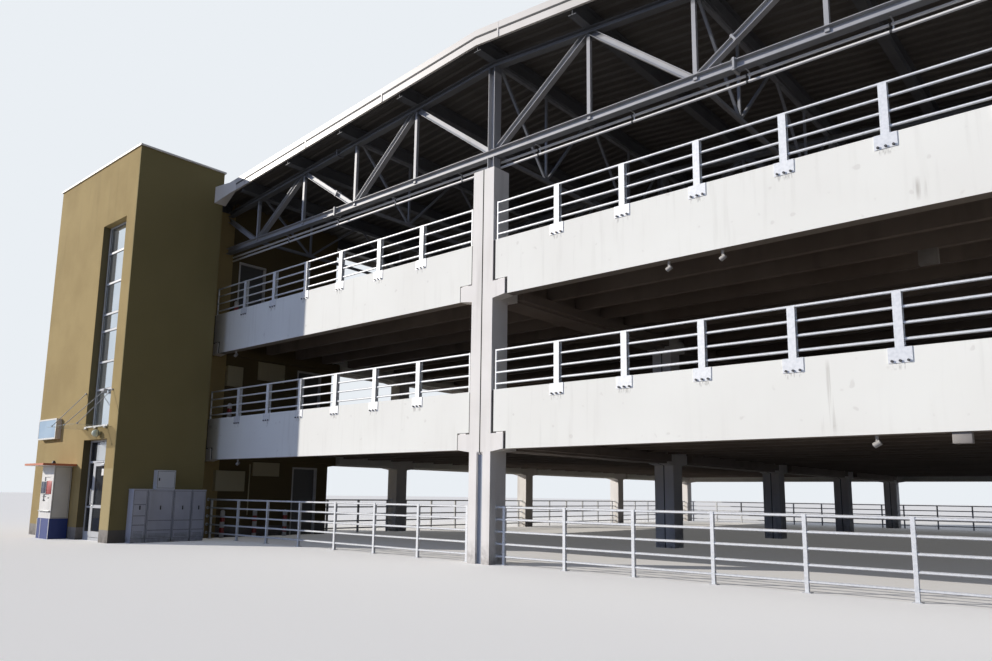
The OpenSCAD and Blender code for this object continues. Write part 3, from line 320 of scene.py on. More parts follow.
def plate_bolts(name, places):
    """Three hexagon heads in a row, facing -Y before each copy turns."""
    bpy.ops.object.select_all(action="DESELECT")
    bpy.ops.mesh.primitive_cylinder_add(vertices=6, radius=0.021, depth=0.032,
                                        location=(-bolt_pitch, -0.012, 0),
                                        rotation=(math.pi / 2, 0, 0))
    piece = start_piece(name)
    round_edges(0.0025)
    row = piece.modifiers.new("row", "ARRAY")
    row.count = 3
    row.use_relative_offset = False
    row.use_constant_offset = True
    row.constant_offset_displace = (bolt_pitch, 0, 0)
    bpy.ops.object.modifier_apply(modifier="row")
    fit(set_out(piece, places), zinc_with_painted_shade)


galvanised = weathered("galvanised_steel", "#dcdee0", "#cfd2d5", "#9a9c9e", 0.52, 0.05, 0.15,
                       0.002, 0.0001, 0.2)
finish(galvanised, "front_railings_level_1", "front_railings_level_2", "rear_railings",
       "side_railings", "front_fences")
# The bolts are zinc plated. Their dark colour is painted shade, for the shadows
# that the heads cast, so they read as dark dots on the plates.
zinc_with_painted_shade = weathered("zinc_plated_steel_painted_shade", "#4a4a4c", "#3c3c3e", "#6b4a33", 0.5, 0.03, 0.5,
                      0.002, 0.0001, 0.5)
bolt_pitch, bolt_up = 0.11, 0.03
bolt_zs = [foot + parapet_h - plate_h + bolt_up for foot in parapet_feet]
bay_posts = [s * (first_post + i * post_pitch) for s in (-1, 1) for i in range(6)]
first_side_post, x_side_plate, post_by_tower = 1.64, 11.852, 6.0325
side_posts = [row * row_pitch + first_side_post + i * post_pitch
              for row in range(bays_deep) for i in range(4)]
plate_bolts("front_plate_bolts", [(x, -parapet_out - plate_t, z, 0)
                                  for x in bay_posts for z in bolt_zs])
plate_bolts("rear_plate_bolts", [(x, y_rear + parapet_out + plate_t, z, 180)
                                 for x in bay_posts for z in bolt_zs])
plate_bolts("right_plate_bolts", [(x_side_plate, y, z, 90) for y in side_posts for z in bolt_zs])
plate_bolts("left_plate_bolts", [(-x_side_plate, y, z, -90)
                                 for y in side_posts[4:] + [post_by_tower] for z in bolt_zs])

# Ground fences: tube rails welded to square posts, galvanised. The rails end in
# round flanges on the columns, and each post stands on a small foot plate.
flange_t, column_half = 0.008, 0.255
bpy.ops.object.select_all(action="DESELECT")
bpy.ops.mesh.primitive_cylinder_add(vertices=16, radius=0.048, depth=flange_t,
                                    rotation=(0, math.pi / 2, 0))
flange = start_piece("fence_flanges")
round_edges(0.002)
fence_y, x_side_fence = -0.03, 11.62
rail_zs = [1.164 - i * 0.249 for i in range(5)]
flange_off = column_half + flange_t / 2
side_ends = [row * row_pitch + y for row in range(bays_deep)
             for y in (flange_off, row_pitch - flange_off)]
rail_ends = [(s * x, y, 0) for s in (-1, 1) for x in (x_twin + flange_t / 2, x_side - flange_t / 2)
             for y in (fence_y, y_rear - fence_y)]
rail_ends += [(x_side_fence, y, 90) for y in side_ends]
rail_ends += [(-x_side_fence, y, 90) for y in side_ends[1:]]
flange = set_out(flange, [(x, y, z, turn) for x, y, turn in rail_ends for z in rail_zs])
fit(flange, galvanised)

fence_end, fence_spaces = 0.22, 7
fence_step = (x_side - x_twin - 2 * fence_end) / fence_spaces
fence_posts = [x_twin + fence_end + i * fence_step for i in range(fence_spaces + 1)]
foot_plate = folded_box("fence_foot_plates", (-0.07, -0.07, 0.0), (0.07, 0.07, 0.01), 0.003)
foot_plate = set_out(foot_plate, [(s * x, fence_y, 0, 0) for s in (-1, 1) for x in fence_posts])
fit(foot_plate, galvanised)


# Bollards in front of the stair core: steel tube, painted white, with two bands
# of red sheeting stuck round each. The side and rear fences share their node.
def sleeve(name, sides, radius, length, thickness, turn=(0, 0, 0)):
    """A short open tube with a wall."""
    bpy.ops.object.select_all(action="DESELECT")
    bpy.ops.mesh.primitive_cylinder_add(vertices=sides, radius=radius, depth=length,
                                        rotation=turn, end_fill_type="NOTHING")
    tube = start_piece(name)
    wall = tube.modifiers.new("wall", "SOLIDIFY")
    wall.thickness = thickness
    bpy.ops.object.modifier_apply(modifier="wall")
    return tube


bollard_paint = weathered("galvanised_steel_and_white", "#dcdee0", "#cfd2d5", "#9a9c9e", 0.5,
                          0.05, 0.15, 0.002, 0.0001)
bollard_x, bollard_y, bollard_step = -11.14, 0.35, 1.12
bollards = [(bollard_y, 0.0), (bollard_y + bollard_step, 0.0), (bollard_y + 2 * bollard_step, 0.0),
            (bollard_y, 3.309), (bollard_y, 6.597)]
overlay(bollard_paint, "#ece9e4", 1.0,
        within(bollard_paint, X, bollard_x - 0.09, bollard_x + 0.09),
        within(bollard_paint, Y, 0.25, 2.7))
finish(bollard_paint, "outer_fences")
red_sheeting = weathered("red_sheeting", "#97231c", "#88201a", "#5c2620", 0.4, 0.2, 0.3, 0.002,
                         0.0001)
band = sleeve("bollard_bands", 24, 0.0715, 0.18, 0.0025)
band = set_out(band, [(bollard_x, y, z + up, 0) for y, z in bollards for up in (0.22, 0.58)])
fit(band, red_sheeting)


# Roof steel: rolled H sections with two coats of light grey steel paint, shop
# welded in three lengths and joined on site by bolted end plates.
def near_roof(material, low, high):
    """0 below a line that falls with the roof from low at the ridge, 1 above one from high."""
    tree = material.node_tree
    place = tree.nodes["Texture Coordinate"].outputs["Object"]
    spot = add_node(tree, "SeparateXYZ", {0: place}).outputs
    out = add_node(tree, "Math", {0: spot[X]}, operation="ABSOLUTE").outputs[0]
    rise = add_node(tree, "Math", {0: out, 1: roof_tan, 2: spot[Z]}, operation="MULTIPLY_ADD")
    return add_node(tree, "MapRange", {"Value": rise.outputs[0], "From Min": low,
                                       "From Max": high}).outputs[0]


def settle(piece, location=(0, 0, 0), turn=(0, 0, 0)):
    """Turns a piece about the origin and moves it, in its mesh."""
    select_only(piece)
    piece.location, piece.rotation_euler = location, turn
    bpy.ops.object.transform_apply(location=True, rotation=True, scale=True)
    return piece


def splice(name, half_w, half_h, tilt):
    """A pair of end plates with four bolts, square to a member along X tilted by tilt degrees."""
    parts = [folded_box(name, (-0.022, -half_w, -half_h), (0.022, half_w, half_h), 0.003)]
    for y in (-half_w + 0.025, half_w - 0.025):
        for z in (-half_h + 0.028, half_h - 0.028):
            bpy.ops.object.select_all(action="DESELECT")
            bpy.ops.mesh.primitive_cylinder_add(vertices=6, radius=0.015, depth=0.09,
                                                location=(0, y, z), rotation=(0, math.pi / 2, 0))
            parts.append(start_piece("bolt"))
    return settle(join(name, parts), turn=(0, math.radians(tilt), 0))


steel_paint = weathered("steel_paint", "#a9aaad", "#9d9fa3", "#66625e", 0.5, 0.9, 0.3, 0.003,
                        0.0001)
# The pipes behind the bottom chord are white. The top chords, in the roof's
# shade, and the lower flange of the bottom chord are darkened with painted shade.
overlay(steel_paint, "#e2e2e0", 1.0, within(steel_paint, Y, 0.225, 0.3, 0.001),
        within(steel_paint, Z, 8.6, 8.955))
ridge_z, roof_tan = 11.17, 0.08397
overlay(steel_paint, "#54575c", 0.8, near_roof(steel_paint, 11.0, 11.06))
overlay(steel_paint, "#6d7076", 0.8, within(steel_paint, Z, 8.96, 8.99, 0.001),
        within(steel_paint, Y, -0.1, 0.19, 0.01))
finish(steel_paint, "front_truss", "canopy_rods")
# No rain washes the inner steel, so dust makes it greyer and duller.
dusty_steel = weathered("dusty_steel_paint", "#85888e", "#7a7d83", "#4f4c49", 0.6, 0.9, 0.35,
                        0.003, 0.0001)
finish(dusty_steel, "inner_trusses", "roof_bracing")

splice_x, truss_in = 5.73, 0.08
truss_ys = [truss_in, *[k * row_pitch for k in range(1, bays_deep)], y_rear - truss_in]
chord_z, diagonal_z, top_z = 9.06, 9.585, ridge_z - splice_x * roof_tan + 0.07
for name, hands, half_w, half_h, z, tilt in (
        ("chord_splices", (-1, 1), 0.115, 0.125, chord_z, 0),
        ("diagonal_splices_right", (1,), 0.085, 0.085, diagonal_z, -34),
        ("diagonal_splices_left", (-1,), 0.085, 0.085, diagonal_z, 34),
        ("top_chord_splices_right", (1,), 0.115, 0.1, top_z, 4.8),
        ("top_chord_splices_left", (-1,), 0.115, 0.1, top_z, -4.8)):
    plates = splice(name, half_w, half_h, tilt)
    plates = set_out(plates, [(s * splice_x, y, z, 0) for s in hands for y in truss_ys])
    fit(plates, steel_paint)

# Pipes along the front truss: steel, held by clip bands that are screwed round
# them at every hanger.
first_clip, clip_step, pipe_y, pipe_zs = 1.14, 2.36, 0.26, (8.91, 8.79)
clip = sleeve("pipe_clips", 16, 0.034, 0.035, 0.004, (0, math.pi / 2, 0))
clip = set_out(clip, [(s * (first_clip + k * clip_step), pipe_y, z, 0)
                      for s in (-1, 1) for k in range(4) for z in pipe_zs])
# The clips take the bolts' dark zinc, which is painted shade.
fit(clip, zinc_with_painted_shade)

# Purlins: steel sections that lie across the trusses under the roof deck, in a
# dull undercoat. They are out of the light, so they read as dark lines.
purlin_paint = weathered("purlin_paint", "#5f6165", "#55575b", "#3f3d3b", 0.6, 0.9, 0.2, 0.003,
                         0.0001)
finish(purlin_paint, "purlins")

# Roof deck: trapezoidal steel sheet, grey from below and dusty in its ribs, with
# a welded membrane on top that shows its laps as darker lines.
deck_sheet = weathered("deck_sheet", "#615e5b", "#595653", "#3d3935", 0.7, 1.2, 0.25, 0.003,
                       0.0001)
lap_pitch = 1.5
tree = deck_sheet.node_tree
place = tree.nodes["Texture Coordinate"].outputs["Object"]
deep = add_node(tree, "SeparateXYZ", {0: place}).outputs[Y]
lap = add_node(tree, "Math", {0: deep, 1: lap_pitch}, operation="MODULO").outputs[0]
lap = add_node(tree, "MapRange", {"Value": lap, "From Min": 0.03, "From Max": 0.02}).outputs[0]
overlay(deck_sheet, "#4c4947", 0.5, lap)
membrane = near_roof(deck_sheet, 11.735, 11.74)
overlay(deck_sheet, "#bab9b5", 1.0, membrane)
overlay(deck_sheet, "#8f8e8a", 0.6, membrane, lap)
finish(deck_sheet, "roof_deck")

# Fascia: folded sheet, coil-coated white, in two bands. A dark strip under the
# upper band is painted shade, for the shadow line below the band's step, and
# cover plates close the sheets' joints.
white_sheet = weathered("coil_coated_sheet", "#dedad5", "#d6d2cc", "#8f8e8b", 0.4, 0.8, 0.12,
                        0.003, 0.00005)
finish(white_sheet, "fascia", "tower_coping")
band_shadow_strip = weathered("bitumen_strip_painted_shadow", "#39393a", "#303031", "#242322", 0.7, 0.3, 0.3, 0.003,
                       0.0002)
fascia_top, fascia_y, fascia_end, upper_band = 11.788, -0.612, 12.5, 0.15
strip_h, strip_front, strip_back = 0.045, 0.002, 0.013
slope = math.atan(roof_tan)
for side, y0, y1 in (("front", fascia_y + strip_front, fascia_y + strip_back),
                     ("rear", y_rear - fascia_y - strip_back, y_rear - fascia_y - strip_front)):
    for hand, turn, back in (("left", math.pi, y0 + y1), ("right", 0, 0)):
        strip = folded_box("painted_shadow_strip_" + side + "_" + hand, (0.0, y0, -strip_h),
                           (fascia_end, y1, 0.0), 0.002)
        settle(strip, (0, back, fascia_top - upper_band), (0, slope, turn))
        fit(strip, band_shadow_strip)
cover = folded_box("fascia_cover_plates", (-0.02, -0.003, -0.36), (0.02, 0.0, 0.0), 0.001)
sheet_joints = [0.66] + [s * x for s in (-1, 1) for x in (3.2, 6.4, 9.5)]
cover = set_out(cover, [(x, fascia_y, fascia_top - abs(x) * roof_tan, 0) for x in sheet_joints])
fit(cover, white_sheet)

# Tower walls: fine ochre render floated on masonry, a little patchy, with faint
# runs below the coping and a lighter repair beside the door.
ochre_render = weathered("ochre_render", ochre, ochre_patch, ochre_dirt, 0.92, 1.3, 0.2, 0.003,
                         0.001)
tx0, tx1, ty0 = -16.335, -10.581, -3.276
door_x0, door_x1 = -12.72, -11.17
overlay(ochre_render, "#b9ab82", 0.5, within(ochre_render, X, door_x1 + 0.02, -10.6, 0.01),
        within(ochre_render, Y, -3.3, -3.2, 0.01), within(ochre_render, Z, 0.3, 1.98, 0.02))
# The right wall, the openings' left jambs and the core wall are never in the
# sun, and they are darkened with painted shade.
overlay(ochre_render, "#766e48", 0.8, within(ochre_render, X, -10.62, -10.5, 0.001))
overlay(ochre_render, "#4f4a35", 0.9,
        within(ochre_render, X, door_x0 - 0.01, door_x0 + 0.01, 0.001),
        within(ochre_render, Y, -3.27, -2.9, 0.001))
overlay(ochre_render, "#574c33", 0.85, within(ochre_render, X, -11.5, -10.8, 0.01),
        within(ochre_render, Y, 0.0, 6.0, 0.01))
finish(ochre_render, "tower_front_wall_left", "tower_front_wall_right", "tower_front_bands",
       "tower_right_wall", "tower_core_wall", "tower_back_wall")

# Plinth and slabs: a coarser grey render, splashed with dirt. On the right,
# where the sun never reaches, it is darkened with painted shade.
plinth_render = weathered("plinth_render", "#8e8983", "#837e78", "#4f4b47", 0.9, 0.5, 0.4,
                          0.004, 0.001, splash=0.3)
overlay(plinth_render, "#55504a", 0.8, within(plinth_render, X, -10.6, -10.5, 0.001))
finish(plinth_render, "tower_plinth", "tower_slabs")

# Coping of the tower: the same white sheet, folded over the walls' heads in
# lengths, with a raised cover plate at each joint.
coping_z, coping_length = 11.3, 1.44
cover = folded_box("coping_covers_front", (-0.03, -0.005, -0.055), (0.03, 0.44, 0.004), 0.002)
cover = set_out(cover, [(tx0 + coping_length * k, ty0 - 0.041, coping_z, 0) for k in (1, 2, 3)])
fit(cover, white_sheet)


# Slot window and entrance screen: aluminium frames, powder coated pale grey. The
# panes sit in black rubber gaskets pressed in from the front.
def ring(name, x0, x1, z0, z1, y, border, out):
    """A flat rectangular frame on the plane y, facing -Y and standing out by out."""
    bpy.ops.object.select_all(action="DESELECT")
    bpy.ops.mesh.primitive_plane_add(size=1, location=((x0 + x1) / 2, y, (z0 + z1) / 2),
                                     rotation=(math.pi / 2, 0, 0))
    bpy.context.object.scale = (x1 - x0, z1 - z0, 1)
    piece = start_piece(name)
    bpy.ops.object.mode_set(mode="EDIT")
    bpy.ops.mesh.select_all(action="SELECT")
    bpy.ops.mesh.inset(thickness=border, depth=0)
    bpy.ops.mesh.delete(type="FACE")
    bpy.ops.mesh.select_all(action="SELECT")
    bpy.ops.mesh.extrude_region_move(TRANSFORM_OT_translate={"value": (0, -out, 0)})
    bpy.ops.mesh.select_all(action="SELECT")
    bpy.ops.mesh.normals_make_consistent(inside=False)
    bpy.ops.object.mode_set(mode="OBJECT")
    return piece


def gaskets(name, panes, border, out, body="building"):
    """Rubber round the panes (x0, x1, z0, z1), standing out by out from the glass."""
    rings = [ring("gasket", *pane, glass_y + 0.001, border, out) for pane in panes]
    fit(join(name, rings), rubber, body)


frame_coat = weathered("frame_powder_coat", "#cbcdcf", "#c2c5c8", "#8b8a88", 0.4, 0.4, 0.1,
                       0.001, 0.00003)
# The sill board of the slot window is white.
overlay(frame_coat, "#f0efec", 1.0, within(frame_coat, Z, 3.16, 3.212, 0.001),
        within(frame_coat, X, -13, -11))
finish(frame_coat, "slot_window_frame", "door_frame", "door_leaf")
rubber = weathered("epdm_rubber", "#1f1f20", "#262627", "#3a3936", 0.7, 0.1, 0.3, 0.001, 0.00003)
frame_w, glass_y, slot_foot, slot_top = 0.055, -3.051, 3.17, 9.27
bars = (slot_foot + frame_w / 2, 4.29, 5.11, 6.04, 6.55, 7.49, 8.43, slot_top - frame_w / 2)
gaskets("window_gaskets", [(door_x0 + frame_w, door_x1 - frame_w, a + frame_w / 2, b - frame_w / 2)
                           for a, b in zip(bars, bars[1:])], 0.012, 0.008)


# Glass of the slot window: float glass with a metal coat against the sun, so it
# mirrors what is bright before it. The glass in the door is plain; its dark
# colour is painted shade, for the dark room behind it.
def glazed(name, roughness, colour, second, *cloud):
    """Glass with a faint second tone in clouds, and its shader."""
    material, tree, shader, place = start_finish(name, roughness)
    tone = tint(tree, clouds(tree, place, *cloud), linear(colour), linear(second))
    tree.links.new(tone, shader.inputs["Base Color"])
    return material, shader


film_glass, shader = glazed("sun_control_glass", 0.06, "#dfe5e8", "#c9d3dd", 1.6, 0.35, 0.7, 2.0)
shader.inputs["Metallic"].default_value = 0.85
finish(film_glass, "slot_window_glass")
door_glass_shade_and_reflection, shader = glazed("float_glass_painted_shade_and_reflection", 0.03, "#3c4045", "#2f3338", 0.9, 0.35, 0.7, 2.0)
shader.inputs["Transmission Weight"].default_value = 0.3
# The top light is coloured pale: a painted reflection.
overlay(door_glass_shade_and_reflection, "#dfe5e8", 1.0, within(door_glass_shade_and_reflection, Z, 2.2, 2.9),
        within(door_glass_shade_and_reflection, X, -12.3, -11.0))
finish(door_glass_shade_and_reflection, "door_side_glass", "door_leaf_glass")

# Entrance door: its gaskets, a lock cylinder in a rose under the pull handle, a
# closer along the top rail, and the closer's slide rail on the frame.
mullion_x, transom_top, lock_rail = -12.365, 2.221, (0.9, 0.955)
gaskets("frame_gaskets", [(door_x0 + frame_w, door_x1 - frame_w, transom_top, 2.765),
                          (door_x0 + frame_w, mullion_x, 0.241, lock_rail[0]),
                          (door_x0 + frame_w, mullion_x, lock_rail[1], 2.166)], 0.01, 0.006)
leaf_x0, leaf_x1, stile = -12.304, -11.231, 0.085
gaskets("leaf_gaskets", [(leaf_x0 + stile, leaf_x1 - stile, 0.252, 0.9),
                         (leaf_x0 + stile, leaf_x1 - stile, 0.985, 2.075)], 0.01, 0.006,
        "entrance_door")

frame_y = -3.076
closer = folded_box("door_closer", (-11.86, frame_y - 0.045, 2.082),
                    (-11.6, frame_y + 0.001, 2.142), 0.008, 2)
fit(closer, frame_coat, "entrance_door")
rail = folded_box("closer_rail", (-12.2, frame_y - 0.018, 2.178),
                  (-11.72, frame_y + 0.001, 2.202), 0.003)
fit(rail, frame_coat)

brushed = weathered("brushed_steel", "#b9b9b7", "#a9a9a7", "#77756f", 0.35, 0.1, 0.2, 0.001,
                    0.00002, 0.8)
bpy.ops.object.select_all(action="DESELECT")
bpy.ops.mesh.primitive_cylinder_add(vertices=24, radius=0.026, depth=0.012,
                                    location=(leaf_x0 + stile / 2, frame_y - 0.005, 0.94),
                                    rotation=(math.pi / 2, 0, 0))
rose = start_piece("lock_rose")
bpy.ops.object.mode_set(mode="EDIT")
bpy.ops.mesh.select_all(action="DESELECT")
bpy.ops.object.mode_set(mode="OBJECT")
for face in rose.data.polygons:
    face.select = face.normal.y < -0.9
bpy.ops.object.mode_set(mode="EDIT")
bpy.ops.mesh.inset(thickness=0.016, depth=0.006)
bpy.ops.object.mode_set(mode="OBJECT")
fit(rose, brushed, "entrance_door")

card = weathered("white_card", "#edece8", "#e4e3df", "#b9b7b1", 0.6, 0.1, 0.2, 0.001, 0.00002)
notice = folded_box("blank_notice", (-11.86, glass_y - 0.004, 1.81),
                    (-11.72, glass_y - 0.0005, 2.0), 0.001)
fit(notice, card, "entrance_door")

# Steel doors from the core to the decks: pressed leaves in white frames, each
# with a dark lever on a plate. The leaves' enamel is dark grey.
door_coat = weathered("door_stoved_enamel", "#e6e4df", "#dddbd6", "#9b9994", 0.45, 0.5, 0.2,
                      0.002, 0.0001)
leaf_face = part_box("deck_doors")[0][0] + 0.051
overlay(door_coat, "#575654", 1.0, within(door_coat, X, -11.8, leaf_face, 0.001))
finish(door_coat, "deck_doors")
dark_plastic = weathered("black_polyamide", "#2a2a2b", "#323233", "#55534f", 0.5, 0.1, 0.2,
                         0.001, 0.00005)
lever = join("deck_door_levers", [
    folded_box("plate", (0.0, -0.02, -0.11), (0.01, 0.02, 0.11), 0.003),
    folded_box("lever", (0.009, -0.012, -0.01), (0.05, 0.012, 0.01), 0.004, 2),
    folded_box("grip", (0.034, -0.012, -0.011), (0.054, 0.12, 0.011), 0.006, 2)])
lever_x, lever_in, lever_up = -11.546, 0.11, 1.05
deck_doors = ((2.975, 0.092), (2.975, 3.309), (0.525, 6.597))
lever = set_out(lever, [(lever_x, y + lever_in, z + lever_up, 0) for y, z in deck_doors])
fit(lever, dark_plastic)

# Canopy: a sheet of laminated glass, greenish at its edge, hung from tie rods.
# Three clamps hold its back edge to the wall.
canopy_glass, shader = glazed("laminated_glass", 0.05, "#c8d6d3", "#b3c0bc", 0.5, 0.4, 0.7)
shader.inputs["Alpha"].default_value = 0.22
finish(canopy_glass, "door_canopy")
clamp = folded_box("canopy_clamps", (-0.05, -0.06, -0.014), (0.05, 0.0, 0.032), 0.005, 2)
clamp = set_out(clamp, [(x, ty0, 3.135, 0) for x in (-12.6, -11.945, -11.3)])
fit(clamp, brushed)

# Ball lamp over the door: an opal acrylic globe that is held by a dark ring and
# a short neck on the wall.
opal = weathered("opal_acrylic", "#e3ebd6", "#dbe4ce", "#a9ad9f", 0.3, 0.4, 0.15, 0.002, 0.00002)
ball_x, ball_z, ball_out, neck = -11.665, 2.9775, 0.12, 0.06
bpy.ops.object.select_all(action="DESELECT")
bpy.ops.mesh.primitive_uv_sphere_add(segments=24, ring_count=16, radius=0.1,
                                     location=(ball_x, ty0 - ball_out, ball_z),
                                     rotation=(math.pi / 2, 0, 0))
globe = start_piece("ball_lamp_globe")
bpy.ops.object.mode_set(mode="EDIT")
bpy.ops.mesh.select_all(action="SELECT")
bpy.ops.mesh.bisect(plane_co=(0, ty0 - neck, 0), plane_no=(0, 1, 0), clear_outer=True,
                    use_fill=True)
bpy.ops.mesh.extrude_region_move(TRANSFORM_OT_translate={"value": (0, neck, 0)})
bpy.ops.transform.resize(value=(0.6, 1, 0.6), center_override=(ball_x, ty0, ball_z))
bpy.ops.object.mode_set(mode="OBJECT")
fit(globe, opal)
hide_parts("lamps")
bpy.ops.object.select_all(action="DESELECT")
bpy.ops.mesh.primitive_torus_add(major_radius=0.086, minor_radius=0.012, major_segments=32,
                                 minor_segments=8, location=(ball_x, ty0 - 0.069, ball_z),
                                 rotation=(math.pi / 2, 0, 0))
fit(start_piece("ball_lamp_collar"), dark_plastic)

# Floodlights under the edge beams: small die-cast heads, painted grey, on short
# tapered stems that screw into the soffit.
cast_grey = weathered("die_cast_grey", "#a9a6a1", "#9f9c97", "#6f6c67", 0.5, 0.1, 0.25, 0.002,
                      0.0001)
low_beam, high_beam = parapet_feet
stem_l, flood_y = 0.13, -0.1
floods = ((-10.19, high_beam), (-9.7, low_beam), (4.42, high_beam), (5.45, high_beam),
          (7.73, low_beam))
bpy.ops.object.select_all(action="DESELECT")
bpy.ops.mesh.primitive_cylinder_add(vertices=24, radius=0.0435, depth=0.1068)
head = start_piece("floodlights")
bpy.ops.object.mode_set(mode="EDIT")
bpy.ops.mesh.select_all(action="SELECT")
bpy.ops.transform.rotate(value=math.radians(-60), orient_axis="Y", center_override=(0, 0, 0))
bpy.ops.object.mode_set(mode="OBJECT")
bpy.ops.object.select_all(action="DESELECT")
bpy.ops.mesh.primitive_cone_add(vertices=12, radius1=0.014, radius2=0.03, depth=stem_l,
                                location=(0, 0, stem_l / 2))
head = join("floodlights", [head, start_piece("stem")])
head = set_out(head, [(x, flood_y, z - stem_l, 0) for x, z in floods])
fit(head, cast_grey)
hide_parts("lamps")

# Junction boxes: mouldings, one under the low edge beam and one on a rib of
# the deck behind the high one. Their grey is darkened with painted shade.
box_coat_painted_shade = weathered("box_moulding_painted_shade", "#96918c", "#8c8782", "#65615c", 0.6, 0.2, 0.2, 0.002,
                     0.0001)
boxes = ((8.83, flood_y, low_beam, 0.24, 0.16), (8.01, 2.869, high_beam + 0.25, 0.32, 0.28))
covers = join("junction_covers", [
    folded_box("cover", (x - w / 2, y - 0.07, z - h), (x + w / 2, y + 0.07, z), 0.008, 2)
    for x, y, z, w, h in boxes])
fit(covers, box_coat_painted_shade)

# Light box on the front wall: a white sheet case, its blank face of pale blue
# acrylic. The boxes and panels on the core wall share the node.
case_coat = weathered("case_coat", "#e3e2dc", "#dad9d3", "#9c9a94", 0.45, 0.5, 0.2, 0.002,
                      0.0001)
overlay(case_coat, "#b6ab84", 0.9, within(case_coat, X, -11.5, -11.1),
        within(case_coat, Y, 0.0, 2.6))
finish(case_coat, "light_box")
acrylic = weathered("blue_acrylic", "#a9c3d8", "#9fbad1", "#8aa0b2", 0.25, 0.6, 0.1, 0.002,
                    0.00002)
case_x0, case_x1, case_z0, case_z1, case_y, rim = -15.935, -14.505, 2.925, 3.555, -3.42, 0.045
face = folded_box("light_box_face", (case_x0 + rim, case_y - 0.01, case_z0 + rim),
                  (case_x1 - rim, case_y - 0.004, case_z1 - rim), 0.002)
fit(face, acrylic)
trim = ring("light_box_trim", case_x0, case_x1, case_z0, case_z1, case_y, rim, 0.014)
fit(trim, case_coat)


# Pay kiosk: a powder coated steel case on a blue base, under a terracotta roof
# tray. Its front carries a dark screen, a red card unit, slots and a tray.
def face_right(piece, x):
    """Turns a piece that was made on the plane y = 0 to face +X, at x."""
    return settle(piece, (x, 0, 0), (0, 0, math.pi / 2))


kiosk_coat = weathered("kiosk_powder_coat", "#e8e6e1", "#dfddd8", "#98958e", 0.45, 0.6, 0.25,
                       0.002, 0.0001, splash=0.2)
base_top, roof_foot = 0.5795, 2.081
overlay(kiosk_coat, "#1c3478", 1.0, within(kiosk_coat, Z, -0.1, base_top, 0.001))
overlay(kiosk_coat, "#c4714c", 1.0, within(kiosk_coat, Z, roof_foot, 2.3, 0.001))
finish(kiosk_coat, "pay_kiosk")
kiosk_y, recess_y = -3.776, -3.75
# The display's glass is dark and a little blue, and mirrors softly.
screen_glass, shader = glazed("display_glass", 0.08, "#1d2a4c", "#16203c", 0.2, 0.4, 0.7)
screen = folded_box("kiosk_screen", (-14.14, kiosk_y - 0.012, 1.29), (-13.79, recess_y, 1.62),
                    0.006, 2)
fit(screen, screen_glass)
bezel = ring("kiosk_bezel", -14.16, -13.77, 1.27, 1.64, kiosk_y + 0.02, 0.02, 0.036)
fit(bezel, brushed)
red_coat = weathered("red_powder_coat", "#b23a36", "#a33431", "#6b2a28", 0.4, 0.2, 0.2, 0.002,
                     0.0001)
card_unit = folded_box("kiosk_card_unit", (-13.735, kiosk_y - 0.01, 1.27),
                       (-13.4, recess_y, 1.65), 0.006, 2)
fit(card_unit, red_coat)
slots = join("kiosk_slots", [
    folded_box("slot", (x0, kiosk_y - 0.006, z), (x1, recess_y, z + h), 0.002)
    for x0, x1, z, h in ((-14.05, -13.85, 1.2, 0.012), (-14.0, -13.9, 1.08, 0.02),
                         (-13.66, -13.5, 1.42, 0.01), (-13.62, -13.54, 1.14, 0.04))])
fit(slots, dark_plastic)
tray = folded_box("kiosk_tray", (-14.15, kiosk_y - 0.05, 0.77), (-13.35, kiosk_y + 0.002, 0.8),
                  0.004, 2)
fit(tray, brushed)
edge_coat = weathered("white_corner_coat", "#e9e8e4", "#dfdeda", "#9a978f", 0.45, 0.3, 0.2,
                      0.002, 0.0001)
base_x0, base_x1, side_x, edge_w = -14.222, -13.303, -13.309, 0.03
edges = join("kiosk_base_edges", [
    folded_box("edge", (x, kiosk_y - 0.021, 0.01), (x + edge_w, kiosk_y - 0.013, 0.57), 0.002)
    for x in (base_x0, -13.95, base_x1 - edge_w)])
fit(edges, edge_coat)
seam = ring("kiosk_door_seam", kiosk_y + 0.03, -3.32, 0.6, 2.05, 0.0, 0.006, 0.002)
fit(face_right(seam, side_x), dark_plastic)
bpy.ops.object.select_all(action="DESELECT")
bpy.ops.mesh.primitive_uv_sphere_add(segments=20, ring_count=10, radius=0.055,
                                     location=(-13.86, -3.62, 2.16), scale=(1, 1, 1.6))
beacon = start_piece("kiosk_beacon")
bpy.ops.object.mode_set(mode="EDIT")
bpy.ops.mesh.select_all(action="SELECT")
bpy.ops.mesh.bisect(plane_co=(0, 0, 2.139), plane_no=(0, 0, 1), clear_inner=True, use_fill=True)
bpy.ops.object.mode_set(mode="OBJECT")
fit(beacon, dark_plastic)

# Street cabinets by the tower: glass fibre cases, pale grey and dull, with door
# seams and swing handles. The meter box over them is steel, painted pale grey.
cabinet_coat = weathered("glass_fibre_case", "#bfc1cc", "#b6b8c4", "#85837e", 0.6, 0.5, 0.3,
                         0.002, 0.0001, splash=0.3)
overlay(cabinet_coat, "#d3d5da", 1.0, within(cabinet_coat, Z, 1.4505, 2.1, 0.001))
finish(cabinet_coat, "utility_cabinets")
cabinet_h, cabinet_d, foot_h, lid_h = 1.45, 0.3, 0.09, 0.03
margin, louvre_pitch = 0.03, 0.035
seams, locks, louvres = [], [], []
y = -2.821
